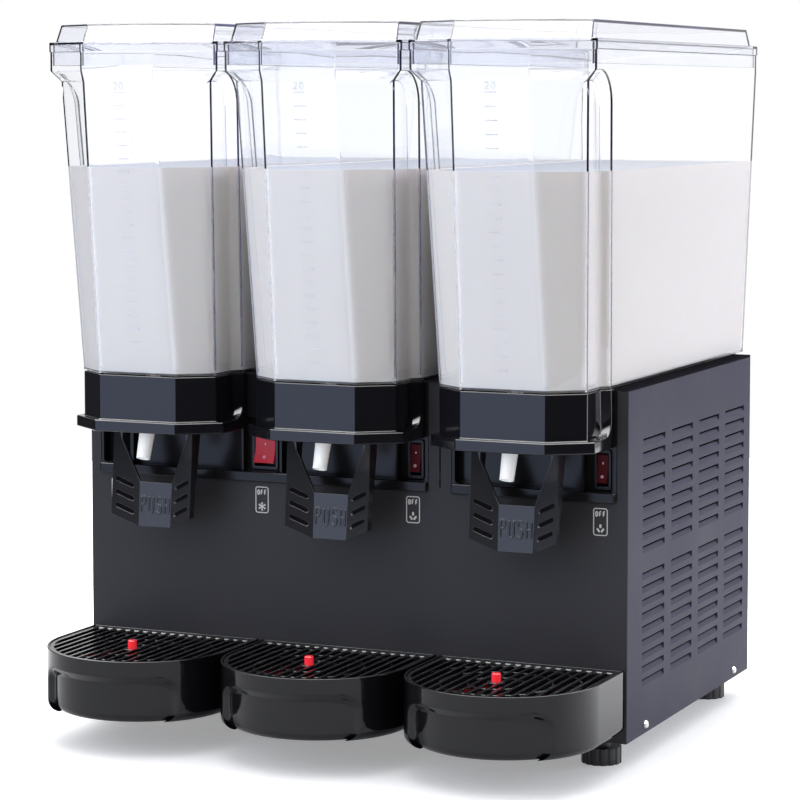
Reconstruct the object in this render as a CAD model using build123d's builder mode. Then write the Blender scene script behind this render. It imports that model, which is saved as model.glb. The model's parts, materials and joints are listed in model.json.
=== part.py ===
import math
import os

from build123d import *

# Three-tank cold drink dispenser. Millimetres: X along the front, -Y towards the user, Z up from the table.

# Overall layout
module_names = ("left", "middle", "right")
module_pitch = 190.0
cabinet_depth = 380.0
cabinet_height = 332.0
foot_height = 25.0
sheet = 1.2
slip = 0.3
fit = 0.05

# Tanks: places along Y are measured from the cabinet's front face
tank_gap = 1.0
tank_height = 310.0
tank_wall = 3.0
rim_height = 18.0
rim_slope_height = 10.0
rim_half_width = 91.2
rim_half_flat = 38.8
rim_front = -111.0
rim_chamfer = 31.5
tank_rear_top = 403.2
tank_rear_bottom = 397.5
inset_half_flat_top = 38.0
inset_half_flat_bottom = 42.3
inset_front_top = -108.2
inset_front_bottom = -74.6
inset_half_side_top = 82.0
inset_half_side_bottom = 73.2
inset_chamfer = 38.0
flush_half_side_bottom = 81.3
step_y_top = -38.0
step_y_bottom = -9.0
arch_radius = 36.0
arch_run = 35.0
arch_overlap = 0.3
floor_lift = 2.0
floor_thick = 3.0

# Lids
lid_overhang = 0.8
lid_flange_height = 9.5
lid_rise = 17.0
lid_wall = 2.5
lid_ledge = 6.0
lid_front_lean = 9.0
lid_side_lean = 1.5
lid_skirt_depth = 13.0
lid_skirt_clearance = 0.6

# Evaporators and mixers
evaporator_y = 185.0
evaporator_radius = 55.0
evaporator_height = 132.0
evaporator_wall = 5.0
neck_bore_radius = 30.0
evaporator_flange_radius = 64.0
evaporator_flange_thick = 1.2
evaporator_crown = 10.0
evaporator_shoulder = 8.0
neck_radius = 42.0
neck_length = 10.0
stub_offset = 36.0
stub_length = 10.0
gasket_width = 7.0
floor_hole_clearance = 1.2
post_radius = 3.0
post_height = 16.0
impeller_radius = 46.0
impeller_hub_radius = 12.0
impeller_hub_height = 14.0
impeller_blade_height = 11.0
impeller_blade_thick = 2.0
impeller_blades = 6
magnet_radius = 25.0
magnet_thick = 12.0
magnet_gap = 1.0
magnet_poles = 4
magnet_pole_depth = 4.0
magnet_pole_offset = 16.5
magnet_pole_length = 12.0
magnet_pole_width = 6.0
drive_shaft_radius = 4.0
motor_radius = 28.0
motor_length = 58.0
motor_bracket_thick = 2.0
motor_bracket_half_width = 15.0
motor_shaft_depth = 18.0

# Tap noses
nose_wall = 2.5
nose_flange_height = 11.0
nose_height = 55.0
nose_flange_reach = 6.0
nose_curve = 18.0
nose_lean = 3.0
nose_skin = 1.0
guide_thick = 3.0
guide_drop = 16.0
guide_half_width = 24.0
anvil_half_width = 18.0
anvil_height = 6.0

# Push levers
lever_pivot_y = -26.0
lever_pivot_z = 340.0
lever_pin_radius = 2.5
lever_boss_radius = 7.0
lever_plate = 3.2
lever_half_centre = 17.5
lever_half_width = 43.5
lever_side_angle = 20.0
lever_front = -37.0
lever_lean = 5.0
lever_bottom_z = 205.0
lever_side_bottom_z = 217.0
lever_window_bottom_z = 249.0
lever_window_shoulder_z = 290.0
lever_arm_width = 8.5
lever_web_depth = 10.0
lever_web_thick = 3.0
lever_bar_radius = 3.0
lever_bar_gap = 0.8
lever_groove_count = 3
lever_groove_pitch = 13.0
lever_groove_height = 4.2
lever_groove_depth = 1.6
lever_groove_start_z = 214.0
lever_groove_margin = 5.0
lever_groove_round = 1.6
spring_radius = 4.6
spring_wire = 1.4
spring_length = 26.0
spring_leg = 16.0

# Outlet tubes
tube_y = -44.0
tube_radius = 7.6
tube_tip_radius = 6.7
tube_bore_radius = 4.6
tube_pinch_thick = 5.0
tube_pinch_width = 20.0
tube_pinch_y = -49.5
tube_pinch_z = 316.0
tube_exit_y = -55.0
tube_exit_z = 302.0
tube_tip_y = -64.0
tube_tip_z = 275.0
tube_tip_bore_depth = 18.0
tube_top_drop = 3.0
spigot_radius = 5.0
spigot_bore_radius = 3.5
spigot_drop = 26.0

# Front panel and bezels
window_margin = 11.0
window_floor_z = 255.0
mullion_x = 96.0
mullion_half_width = 12.0
mullion_slit = 1.0
bezel_depth = 15.0
bezel_recess = 12.0
bezel_wall = 3.0
bezel_recess_top_z = 313.0
bezel_lip_height = 10.0
bezel_lip_reach = 4.0
bezel_lip_drop = 5.0
bezel_corner = 4.0
niche_rib = 2.5
niche_half_width = 17.0
cooling_niche_half_width = 21.0
mixer_switch_inset = 17.5
cooling_switch_x = -95.0
switch_z = 279.5
switch_frame_height = 38.0
switch_frame_thick = 2.0
switch_housing_depth = 18.0
switch_housing_margin = 1.5
rocker_height = 27.0
rocker_slot_height = 31.0
rocker_side_gap = 0.4
rocker_pivot_depth = 6.0
rocker_reach = 7.5
rocker_dip = 2.0
rocker_tilt = 9.0
rocker_pin_radius = 1.5
rocker_pin_length = 1.2
mixer_rocker_width = 10.5
cooling_rocker_width = 22.0
switch_frame_border = 3.0

# Drip trays
tray_half_width = 93.0
tray_straight = 67.0
tray_height = 60.0
tray_top_z = 94.5
tray_wall = 2.5
tray_floor = 4.0
tray_bottom_round = 8.0
tray_band = 15.0
tray_step = 6.0
tray_slope_height = 7.0
tray_panel_half_width = 72.0
tray_arch_radius = 16.0
tray_tongue_offset = 55.0
tray_tongue_width = 26.0
tray_tongue_length = 12.0
tray_tongue_thick = 4.0
tray_tongue_drop = 16.0
tray_tongue_slip = 0.4
grille_drop = 1.0
grille_thick = 4.0
grille_border = 4.0
grille_bar = 3.2
grille_bar_count = 17
grille_ring_count = 3
grille_ring_pitch = 26.0
grille_ring_width = 2.4
grille_ring_thick = 2.4
grille_ledge = 4.0
float_y = -88.0
float_cap_radius = 4.3
float_cap_height = 8.0
float_cap_round = 1.4
float_collar_radius = 8.5
float_hole_clearance = 0.7
float_disc_radius = 17.0
float_disc_height = 14.0

# Side louvres
louvre_columns = 4
louvre_rows = 9
louvre_blocks = 2
louvre_length = 66.0
louvre_column_pitch = 84.3
louvre_first_y = 41.0
louvre_row_pitch = 12.7
louvre_top_z = 303.0
louvre_opening = 6.5
louvre_depth = 4.0
side_flange = 18.0

# Rear panel
vent_rows = 10
vent_columns = 3
vent_length = 120.0
vent_height = 4.0
vent_row_pitch = 14.0
vent_column_pitch = 150.0
vent_low_z = 150.0

# Base pan and feet
pan_thick = 1.5
pan_wall = 24.0
foot_x = 251.0
foot_front_y = 26.0
foot_rear_y = 345.0
foot_radius = 19.0
foot_disc_height = 16.0
foot_scallops = 14
foot_scallop_radius = 2.4
foot_neck_radius = 9.0
foot_stem_radius = 5.0
foot_stem_length = 9.0
pan_boss_radius = 9.0
pan_boss_height = 10.0

# Screws
screw_head_radius = 4.0
screw_head_height = 2.2
screw_head_taper = 25.0
screw_shank_radius = 2.0
screw_shank_length = 5.0
screw_low_z = 33.0
screw_front_y = 54.0
screw_rear_y = 331.0
rear_screw_high_z = 294.0
rear_screw_inset = 10.0

# Refrigeration set
compressor_x = -170.0
compressor_y = 245.0
compressor_radius = 65.0
compressor_top_radius = 50.0
compressor_body_height = 105.0
compressor_dome_height = 26.0
compressor_plate_half = 72.0
compressor_plate_thick = 3.0
compressor_stub_height = 12.0
discharge_offset = 35.0
grommet_radius = 10.0
grommet_height = 12.0
grommet_inset = 13.0
condenser_x = 210.0
condenser_core_half = 14.0
condenser_fin_reach = 5.0
condenser_fin_thick = 1.2
condenser_fin_count = 27
condenser_front_y = 62.0
condenser_rear_y = 338.0
condenser_low_z = 42.0
condenser_high_z = 240.0
condenser_plate = 2.0
condenser_stub_height = 8.0
fan_x = 168.0
fan_y = 200.0
fan_z = 140.0
fan_radius = 84.0
fan_hub_radius = 20.0
fan_hub_length = 22.0
fan_blades = 5
fan_root_chord = 28.0
fan_tip_chord = 46.0
fan_blade_thick = 1.6
fan_root_pitch = 38.0
fan_tip_pitch = 22.0
fan_shaft_radius = 4.0
fan_shaft_length = 16.0
fan_motor_radius = 32.0
fan_motor_length = 52.0
fan_motor_gap = 4.0
fan_pedestal_half = 22.0
fan_foot_half = 30.0
fan_foot_thick = 3.0
suction_radius = 5.0
liquid_radius = 3.0
suction_y = 245.0
liquid_y = 125.0
manifold_z = 318.0
discharge_z = 264.0
discharge_y = 332.0
discharge_radius = 4.0
line_bend = 12.0
riser_bend = 8.0
header_swell = 1.5
drier_x = 60.0
drier_y = 70.0
drier_z = 264.0
drier_radius = 11.0
drier_half_length = 36.0
drier_neck = 8.0
liquid_out_y = 70.0
control_x = -15.0
control_y = 330.0
control_half_width = 45.0
control_half_depth = 38.0
control_height = 82.0
control_round = 4.0
control_lid_lip = 1.5
control_lid_thick = 6.0
inlet_x = 85.0
inlet_z = 90.0
inlet_half_width = 24.0
inlet_half_height = 15.0
inlet_flange = 4.0
inlet_flange_thick = 2.5
inlet_body_depth = 26.0
inlet_pocket_depth = 18.0
inlet_wall = 3.0
inlet_blade_pitch = 7.0
inlet_blade_rise = 4.0
inlet_blade_width = 2.0
inlet_blade_height = 6.0
inlet_blade_length = 12.0

# Derived layout
module_x = {name: (index - 1) * module_pitch for index, name in enumerate(module_names)}
half_width = module_pitch * len(module_names) / 2
tray_reach = tray_straight + tray_half_width
rear_reach = tank_rear_top + lid_overhang
front_y = (tray_reach - rear_reach) / 2
base_z = foot_height
deck_z = foot_height + cabinet_height
deck_low_z = deck_z - 2 * sheet
tank_bottom = deck_z + tank_gap
tank_top = tank_bottom + tank_height
rim_low = tank_top - rim_height
slope_low = rim_low - rim_slope_height
floor_low = tank_bottom + floor_lift
floor_top = floor_low + floor_thick
gasket_height = floor_low - deck_z - evaporator_flange_thick
evaporator_top = deck_z + evaporator_height
neck_bottom = deck_low_z - neck_length
motor_top = neck_bottom - motor_bracket_thick
nose_low = deck_z - nose_height
nose_flange_top = nose_low + nose_flange_height
lid_base = tank_top + lid_flange_height
bezel_low = window_floor_z - bezel_lip_drop
bezel_spans = {
    "bezel_double": (window_margin - half_width, mullion_x - mullion_half_width),
    "bezel_single": (mullion_x + mullion_half_width, half_width - window_margin),
}
switch_places = {
    "mixer_rocker_left": (bezel_spans["bezel_double"][0] + mixer_switch_inset, mixer_rocker_width),
    "cooling_rocker": (cooling_switch_x, cooling_rocker_width),
    "mixer_rocker_middle": (bezel_spans["bezel_double"][1] - mixer_switch_inset, mixer_rocker_width),
    "mixer_rocker_right": (bezel_spans["bezel_single"][1] - mixer_switch_inset, mixer_rocker_width),
}
switch_face_y = bezel_recess - switch_frame_thick
rocker_pivot_y = switch_face_y + rocker_pivot_depth
louvre_starts = [louvre_first_y + column * louvre_column_pitch for column in range(louvre_columns)]
louvre_heights = [
    louvre_top_z - (row + block * (louvre_rows + 1)) * louvre_row_pitch
    for block in range(louvre_blocks)
    for row in range(louvre_rows)
]
foot_places = {
    "foot_front_left": (-foot_x, foot_front_y),
    "foot_front_right": (foot_x, foot_front_y),
    "foot_rear_left": (-foot_x, foot_rear_y),
    "foot_rear_right": (foot_x, foot_rear_y),
}
tray_low_z = tray_top_z - tray_height
tongue_z = tray_top_z - tray_tongue_drop
grille_top_z = tray_top_z - grille_drop
pan_floor_z = base_z + pan_thick
side_screws = [(screw_front_y, screw_low_z), (screw_rear_y, screw_low_z)]
rear_screws = [
    (side * (half_width - sheet - rear_screw_inset), height)
    for side in (-1, 1)
    for height in (screw_low_z, rear_screw_high_z)
]

os.makedirs("parts", exist_ok=True)


# Planes: local coordinates start on a module's centre line and on the cabinet's front face
def level(x, z):
    return Plane(origin=(x, front_y, z))


def side_view(x):
    return Plane(origin=(x, front_y, 0), x_dir=(0, 1, 0), z_dir=(1, 0, 0))


def front_view(x, y):
    return Plane(origin=(x, front_y + y, 0), x_dir=(1, 0, 0), z_dir=(0, -1, 0))


def save(built, name):
    built.part.label = name
    export_step(built.part, f"parts/{name}.step")


def blend(z, low_z, high_z, low_value, high_value):
    return low_value + (high_value - low_value) * (z - low_z) / (high_z - low_z)


# Plan of a tank or nose: a flat front, two chamfers, straight sides and a straight rear, moved in by a wall
def facet_points(half_flat, flat_y, half_side, angle, rear_y, wall=0.0):
    turn = math.radians(angle)
    flat = half_flat - wall * math.tan(turn / 2)
    side = half_side - wall
    front = flat_y + wall
    side_y = front + (side - flat) * math.tan(turn)
    rear = rear_y - wall
    return [(-flat, front), (flat, front), (side, side_y), (side, rear), (-side, rear), (-side, side_y)]


def tank_rear(z):
    return blend(z, tank_bottom, rim_low, tank_rear_bottom, tank_rear_top)


def inset_points(z, wall):
    ends = (tank_bottom, slope_low)
    half_flat = blend(z, *ends, inset_half_flat_bottom, inset_half_flat_top)
    flat_y = blend(z, *ends, inset_front_bottom, inset_front_top)
    half_side = blend(z, *ends, inset_half_side_bottom, inset_half_side_top)
    return facet_points(half_flat, flat_y, half_side, inset_chamfer, tank_rear(z), wall)


def rim_points(wall):
    return facet_points(rim_half_flat, rim_front, rim_half_width, rim_chamfer, tank_rear_top, wall)


def flush_half_side(z):
    return blend(z, tank_bottom, rim_low, flush_half_side_bottom, rim_half_width)


def step_y(z):
    return blend(z, tank_bottom, rim_low, step_y_bottom, step_y_top)


# The space behind the sloped step on a tank's side, seen from the side, cut at a distance from the centre line.
# Its ceiling lies just inside the slope under the rim, so that the arch runs out into that slope.
def flank_points(distance, wall, low_z):
    back = wall * math.sqrt(2)
    lean = rim_slope_height / (rim_half_width - inset_half_side_top)
    low_y = step_y(low_z) - flush_half_side(low_z) + distance + back
    ceiling = rim_low - (rim_half_width - wall - distance) * lean + arch_overlap
    corner_y = step_y(ceiling) - flush_half_side(ceiling) + distance + back
    arch_end = step_y_top - arch_run
    far_y = 2 * rear_reach
    far_z = 2 * tank_top
    return [(far_y, low_z), (low_y, low_z), (corner_y, ceiling), (arch_end, ceiling), (arch_end, far_z), (far_y, far_z)]


# A tank's outside (no wall) or inside (moved in by the wall), from low_z to the rim's top edge
def tank_form(x, wall, low_z):
    with BuildPart() as flanks:
        for side in (-1, 1):
            for distance in (inset_half_side_bottom - 2 * tank_wall, rim_half_width + tank_wall):
                points = flank_points(distance, wall, low_z)
                with BuildSketch(side_view(x + side * distance)) as profile:
                    with BuildLine():
                        Polyline(*points, close=True)
                    make_face()
                    corner = profile.vertices().sort_by_distance((*points[2], 0))[0]
                    fillet(corner, arch_radius - rim_half_width + distance + wall)
            loft(ruled=True)
    with BuildPart() as form:
        flush = facet_points(
            blend(low_z, tank_bottom, rim_low, inset_half_flat_bottom, rim_half_flat),
            blend(low_z, tank_bottom, rim_low, inset_front_bottom, rim_front),
            flush_half_side(low_z),
            rim_chamfer,
            tank_rear(low_z),
            wall,
        )
        with BuildSketch(level(x, low_z)):
            Polygon(*flush, align=None)
        with BuildSketch(level(x, rim_low)):
            Polygon(*rim_points(wall), align=None)
        loft(ruled=True)
        add(flanks.part, mode=Mode.INTERSECT)
        with BuildSketch(level(x, low_z)):
            Polygon(*inset_points(low_z, wall), align=None)
        with BuildSketch(level(x, slope_low)):
            Polygon(*inset_points(slope_low, wall), align=None)
        loft(ruled=True)
        with BuildSketch(level(x, slope_low)):
            Polygon(*inset_points(slope_low, wall), align=None)
        with BuildSketch(level(x, rim_low)):
            Polygon(*rim_points(wall), align=None)
        loft(ruled=True)
        with BuildSketch(level(x, rim_low)):
            Polygon(*rim_points(wall), align=None)
        extrude(amount=rim_height)
    return form.part


def make_tank(name, x):
    with BuildPart() as tank:
        add(tank_form(x, 0.0, tank_bottom))
        add(tank_form(x, tank_wall, floor_top), mode=Mode.SUBTRACT)
        with BuildSketch(level(x, tank_bottom)):
            Polygon(*inset_points(tank_bottom, tank_wall), align=None)
        extrude(amount=floor_lift, mode=Mode.SUBTRACT)
        with BuildSketch(level(x, floor_low)):
            with Locations((0, evaporator_y)):
                Circle(evaporator_radius + floor_hole_clearance)
        extrude(amount=floor_thick, mode=Mode.SUBTRACT)
        with BuildSketch(level(x, deck_z - spigot_drop)):
            with Locations((0, tube_y)):
                Circle(spigot_radius)
        extrude(amount=floor_low - deck_z + spigot_drop)
        with BuildSketch(level(x, deck_z - spigot_drop)):
            with Locations((0, tube_y)):
                Circle(spigot_bore_radius)
        extrude(amount=floor_top - deck_z + spigot_drop, mode=Mode.SUBTRACT)
    save(tank, f"tank_{name}")


# A lid's raised cover leans back at the front and only a little at the sides
def lid_points(wall, front_lean, side_lean):
    side = rim_half_width + lid_overhang - lid_ledge - wall - side_lean
    front = rim_front - lid_overhang + lid_ledge + wall + front_lean
    rear = rear_reach - lid_ledge - wall - front_lean
    return facet_points(rim_half_flat - wall * math.tan(math.radians(rim_chamfer / 2)), front, side, rim_chamfer, rear)


def make_lid(name, x):
    with BuildPart() as lid:
        with BuildSketch(level(x, tank_top)):
            Polygon(*rim_points(-lid_overhang), align=None)
            Polygon(*rim_points(lid_wall - lid_overhang), align=None, mode=Mode.SUBTRACT)
        extrude(amount=lid_flange_height)
        with BuildSketch(level(x, lid_base - lid_wall)):
            Polygon(*rim_points(-lid_overhang), align=None)
        extrude(amount=lid_wall)
        with BuildSketch(level(x, lid_base)):
            Polygon(*lid_points(0.0, 0.0, 0.0), align=None)
        with BuildSketch(level(x, lid_base + lid_rise)):
            Polygon(*lid_points(0.0, lid_front_lean, lid_side_lean), align=None)
        loft(ruled=True)
        skirt = tank_wall + lid_skirt_clearance
        with BuildSketch(level(x, tank_top - lid_skirt_depth)):
            Polygon(*rim_points(skirt), align=None)
            Polygon(*rim_points(skirt + lid_wall), align=None, mode=Mode.SUBTRACT)
        extrude(amount=lid_skirt_depth + lid_flange_height - lid_wall)
        with BuildSketch(level(x, lid_base - lid_wall)):
            Polygon(*lid_points(lid_wall, 0.0, 0.0), align=None)
        with BuildSketch(level(x, lid_base + lid_rise - lid_wall)):
            Polygon(*lid_points(lid_wall, lid_front_lean, lid_side_lean), align=None)
        loft(ruled=True, mode=Mode.SUBTRACT)
    save(lid, f"lid_{name}")


# Tap noses carry the tank's inset front down to a flange that runs forward out of the side step
def nose_flank_points(distance):
    step = step_y_bottom - flush_half_side_bottom + distance
    far = rear_reach
    return [
        (far, deck_z),
        (step, deck_z),
        (step + nose_lean, nose_flange_top),
        (-far, nose_flange_top),
        (-far, nose_low - nose_wall),
        (far, nose_low - nose_wall),
    ]


def nose_flange_points(wall=0.0):
    turn = math.tan(math.radians(inset_chamfer / 2))
    half_flat = inset_half_flat_bottom + nose_flange_reach * turn
    front = inset_front_bottom - nose_flange_reach
    return facet_points(half_flat, front, flush_half_side_bottom, inset_chamfer, 0.0, wall)


def make_nose(name, x):
    with BuildPart() as flanks:
        for side in (-1, 1):
            for distance in (inset_half_side_bottom - nose_wall, flush_half_side_bottom + nose_wall):
                points = nose_flank_points(distance)
                with BuildSketch(side_view(x + side * distance)) as profile:
                    with BuildLine():
                        Polyline(*points, close=True)
                    make_face()
                    corner = profile.vertices().sort_by_distance((*points[2], 0))[0]
                    fillet(corner, nose_curve - flush_half_side_bottom + distance)
            loft(ruled=True)
        with BuildSketch(level(x, nose_low)):
            Polygon(*nose_flange_points(), align=None)
        extrude(amount=nose_flange_height)
    with BuildPart() as nose:
        with BuildSketch(level(x, nose_low)):
            Polygon(*nose_flange_points(), align=None)
        extrude(amount=nose_height)
        add(flanks.part, mode=Mode.INTERSECT)
        body = inset_points(tank_bottom, 0.0)[:3] + [(inset_half_side_bottom, 0), (-inset_half_side_bottom, 0)]
        hollow = inset_points(tank_bottom, nose_wall)
        rear = -nose_wall
        with BuildSketch(level(x, nose_low)):
            Polygon(*body, inset_points(tank_bottom, 0.0)[5], align=None)
        extrude(amount=nose_height)
        with BuildSketch(level(x, nose_low)):
            Polygon(*hollow[:3], (hollow[2][0], rear), (hollow[5][0], rear), hollow[5], align=None)
        extrude(amount=nose_height, mode=Mode.SUBTRACT)
        with BuildSketch(level(x, deck_z - guide_drop)):
            with Locations((0, (inset_front_bottom + tube_y) / 2)):
                Rectangle(2 * guide_half_width, tube_y - inset_front_bottom)
            with Locations((0, tube_y)):
                Circle(tube_radius + guide_thick)
                Circle(tube_radius + slip, mode=Mode.SUBTRACT)
        extrude(amount=-guide_thick)
        anvil_rear = tube_pinch_y - tube_pinch_thick / 2 - slip
        with BuildSketch(level(x, tube_pinch_z)):
            with Locations((0, (inset_front_bottom + anvil_rear) / 2)):
                Rectangle(2 * anvil_half_width, anvil_rear - inset_front_bottom)
        extrude(amount=anvil_height)
        seat = inset_half_side_bottom - nose_skin
        with BuildSketch(side_view(x - seat)):
            with Locations((lever_pivot_y, lever_pivot_z)):
                Circle(lever_pin_radius + fit)
        extrude(amount=2 * seat, mode=Mode.SUBTRACT)
    save(nose, f"tap_nose_{name}")


# Push levers: a three-facet paddle hung on two arms, with a bar that pinches the tube
def lever_section():
    turn = math.radians(lever_side_angle)
    wing = lever_half_width - lever_half_centre
    rise = wing * math.tan(turn)
    edge = lever_front - rise
    web_rear = edge + lever_web_depth
    inner = lever_half_width - lever_web_thick
    plate = lever_plate / math.cos(turn)
    inner_y = lever_front - (inner - lever_half_centre) * math.tan(turn) + plate
    right = [
        (lever_half_centre, lever_front),
        (lever_half_width, edge),
        (lever_half_width, web_rear),
        (inner, web_rear),
        (inner, inner_y),
        (lever_half_centre - lever_plate * math.tan(turn / 2), lever_front + lever_plate),
    ]
    left = [(-px, py) for px, py in reversed(right)]
    return right + left


def make_lever(name, x):
    lean = math.tan(math.radians(lever_lean))
    drop = lever_pivot_z - lever_bottom_z
    with BuildPart() as silhouette:
        with BuildSketch(front_view(x, 0)):
            with BuildLine():
                Polyline(
                    (-lever_half_width, lever_pivot_z),
                    (-lever_half_width, lever_side_bottom_z),
                    (-lever_half_centre, lever_bottom_z),
                    (lever_half_centre, lever_bottom_z),
                    (lever_half_width, lever_side_bottom_z),
                    (lever_half_width, lever_pivot_z),
                    (lever_half_width - lever_arm_width, lever_pivot_z),
                    (lever_half_width - lever_arm_width, lever_window_shoulder_z),
                    (lever_half_centre, lever_window_bottom_z),
                    (-lever_half_centre, lever_window_bottom_z),
                    (lever_arm_width - lever_half_width, lever_window_shoulder_z),
                    (lever_arm_width - lever_half_width, lever_pivot_z),
                    close=True,
                )
            make_face()
        extrude(amount=tray_reach)
    with BuildPart() as lever:
        with BuildSketch(level(x, lever_bottom_z)):
            Polygon(*[(px, py - lean * drop / 2) for px, py in lever_section()], align=None)
        with BuildSketch(level(x, lever_pivot_z)):
            Polygon(*[(px, py + lean * drop / 2) for px, py in lever_section()], align=None)
        loft(ruled=True)
        add(silhouette.part, mode=Mode.INTERSECT)
        turn = math.radians(lever_side_angle)
        start = lever_groove_margin
        stop = (lever_half_width - lever_half_centre) / math.cos(turn) - lever_groove_margin
        rise = (lever_side_bottom_z - lever_bottom_z) / (lever_half_width - lever_half_centre)
        face_y = front_y + lever_front + lean * (lever_groove_start_z - lever_pivot_z + drop / 2)
        web_low = lever_window_bottom_z
        web_y = lever_section()[1][1]
        for side in (-1, 1):
            facet = Plane(
                origin=(x + side * lever_half_centre, face_y, lever_groove_start_z),
                x_dir=(math.cos(turn), -side * math.sin(turn), 0),
                z_dir=(-side * math.sin(turn), -math.cos(turn), lean * math.cos(turn)),
            )
            with BuildSketch(facet) as grooves:
                for groove in range(lever_groove_count):
                    low = groove * lever_groove_pitch
                    Polygon(
                        (side * start, low + start * rise),
                        (side * stop, low + stop * rise),
                        (side * stop, low + stop * rise + lever_groove_height),
                        (side * start, low + start * rise + lever_groove_height),
                        align=None,
                    )
                fillet(grooves.vertices(), lever_groove_round)
            extrude(amount=-lever_groove_depth, mode=Mode.SUBTRACT)
            with BuildSketch(side_view(x + side * lever_half_width)):
                with BuildLine():
                    Polyline(
                        (web_y + lean * (lever_pivot_z - web_low) / 2, lever_pivot_z),
                        (web_y + lever_web_depth / 2, web_low),
                        (web_y + lever_web_depth, web_low),
                        (lever_pivot_y + lever_boss_radius, lever_pivot_z),
                        close=True,
                    )
                make_face()
                with Locations((lever_pivot_y, lever_pivot_z)):
                    Circle(lever_boss_radius)
            extrude(amount=-side * lever_arm_width)
        bar_half = lever_half_width - lever_arm_width / 2
        with BuildSketch(side_view(x - bar_half)):
            with Locations((tube_pinch_y + tube_pinch_thick / 2 + lever_bar_gap + lever_bar_radius, tube_pinch_z)):
                Circle(lever_bar_radius)
        extrude(amount=2 * bar_half)
        with BuildSketch(side_view(x - lever_half_width)):
            with Locations((lever_pivot_y, lever_pivot_z)):
                Circle(lever_pin_radius + fit)
        extrude(amount=2 * lever_half_width, mode=Mode.SUBTRACT)
    save(lever, f"push_lever_{name}")


# Bezels: shallow trays set into the front panel's windows, with a lip and a niche round each switch
def make_bezel(name):
    start, end = bezel_spans[name]
    middle = (start + end) / 2
    width = end - start - 2 * slip
    recess_middle = (window_floor_z + bezel_lip_height - bezel_lip_drop + bezel_recess_top_z) / 2
    recess_height = bezel_recess_top_z - window_floor_z - bezel_lip_height + bezel_lip_drop
    upper_low = bezel_recess_top_z + bezel_wall
    upper_high = deck_low_z - bezel_wall
    places = [(x, rocker) for x, rocker in switch_places.values() if start < x < end]
    with BuildPart() as bezel:
        with BuildSketch(front_view(middle, bezel_depth)):
            with Locations((0, (window_floor_z + slip + deck_low_z) / 2)):
                Rectangle(width, deck_low_z - window_floor_z - slip)
        extrude(amount=bezel_depth)
        with BuildSketch(front_view(middle, 0)):
            with Locations((0, bezel_low + bezel_lip_height / 2)):
                RectangleRounded(width, bezel_lip_height, bezel_lip_reach / 2)
        extrude(amount=bezel_lip_reach)
        with BuildSketch(front_view(middle, 0)):
            with Locations((0, recess_middle)):
                RectangleRounded(width - 2 * bezel_wall, recess_height, bezel_corner)
        extrude(amount=-bezel_recess, mode=Mode.SUBTRACT)
        with BuildSketch(front_view(middle, bezel_depth)):
            with Locations((0, (upper_low + upper_high) / 2)):
                Rectangle(width - 2 * bezel_wall, upper_high - upper_low)
        extrude(amount=bezel_depth - bezel_wall, mode=Mode.SUBTRACT)
        for x, rocker in places:
            if x - start < 2 * mixer_switch_inset:
                ribs = (x + niche_half_width,)
            elif end - x < 2 * mixer_switch_inset:
                ribs = (x - niche_half_width,)
            else:
                ribs = (x - cooling_niche_half_width, x + cooling_niche_half_width)
            for rib in ribs:
                with BuildSketch(front_view(rib, bezel_recess)):
                    with Locations((0, recess_middle)):
                        Rectangle(niche_rib, recess_height)
                extrude(amount=bezel_recess - niche_rib)
            with BuildSketch(front_view(x, bezel_recess)):
                with Locations((0, switch_z)):
                    housing = rocker + 2 * (switch_frame_border - switch_housing_margin)
                    height = switch_frame_height - 2 * switch_housing_margin
                    Rectangle(housing + 2 * slip, height + 2 * slip)
            extrude(amount=bezel_recess - bezel_depth, mode=Mode.SUBTRACT)
    save(bezel, name)


def make_switch_bodies():
    with BuildPart() as bodies:
        for x, rocker in switch_places.values():
            frame = rocker + 2 * switch_frame_border
            with BuildSketch(front_view(x, bezel_recess)):
                with Locations((0, switch_z)):
                    RectangleRounded(frame, switch_frame_height, switch_frame_thick)
            extrude(amount=switch_frame_thick)
            with BuildSketch(front_view(x, bezel_recess)):
                with Locations((0, switch_z)):
                    Rectangle(frame - 2 * switch_housing_margin, switch_frame_height - 2 * switch_housing_margin)
            extrude(amount=-switch_housing_depth)
            with BuildSketch(front_view(x, switch_face_y)):
                with Locations((0, switch_z)):
                    Rectangle(rocker + 2 * rocker_side_gap, rocker_slot_height)
            extrude(amount=-2 * rocker_pivot_depth - rocker_dip, mode=Mode.SUBTRACT)
            reach = rocker / 2 + rocker_pin_length
            with BuildSketch(side_view(x - reach - slip)):
                with Locations((rocker_pivot_y, switch_z)):
                    Circle(rocker_pin_radius + fit)
            extrude(amount=2 * reach + 2 * slip, mode=Mode.SUBTRACT)
    save(bodies, "switch_bodies")


def make_rocker(name, x, width):
    tilt = math.radians(rocker_tilt)
    half = rocker_height / 2
    outline = [
        (-rocker_reach, half),
        (rocker_dip - rocker_reach, 0),
        (-rocker_reach, -half),
        (rocker_dip, -half + 2 * rocker_dip),
        (2 * rocker_dip, 0),
        (rocker_dip, half - 2 * rocker_dip),
    ]
    turned = [
        (
            rocker_pivot_y + py * math.cos(tilt) + pz * math.sin(tilt),
            switch_z - py * math.sin(tilt) + pz * math.cos(tilt),
        )
        for py, pz in outline
    ]
    with BuildPart() as rocker:
        with BuildSketch(side_view(x - width / 2)):
            with BuildLine():
                Polyline(*turned, close=True)
            make_face()
        extrude(amount=width)
        with BuildSketch(side_view(x - width / 2 - rocker_pin_length)):
            with Locations((rocker_pivot_y, switch_z)):
                Circle(rocker_pin_radius)
        extrude(amount=width + 2 * rocker_pin_length)
    save(rocker, name)


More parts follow.
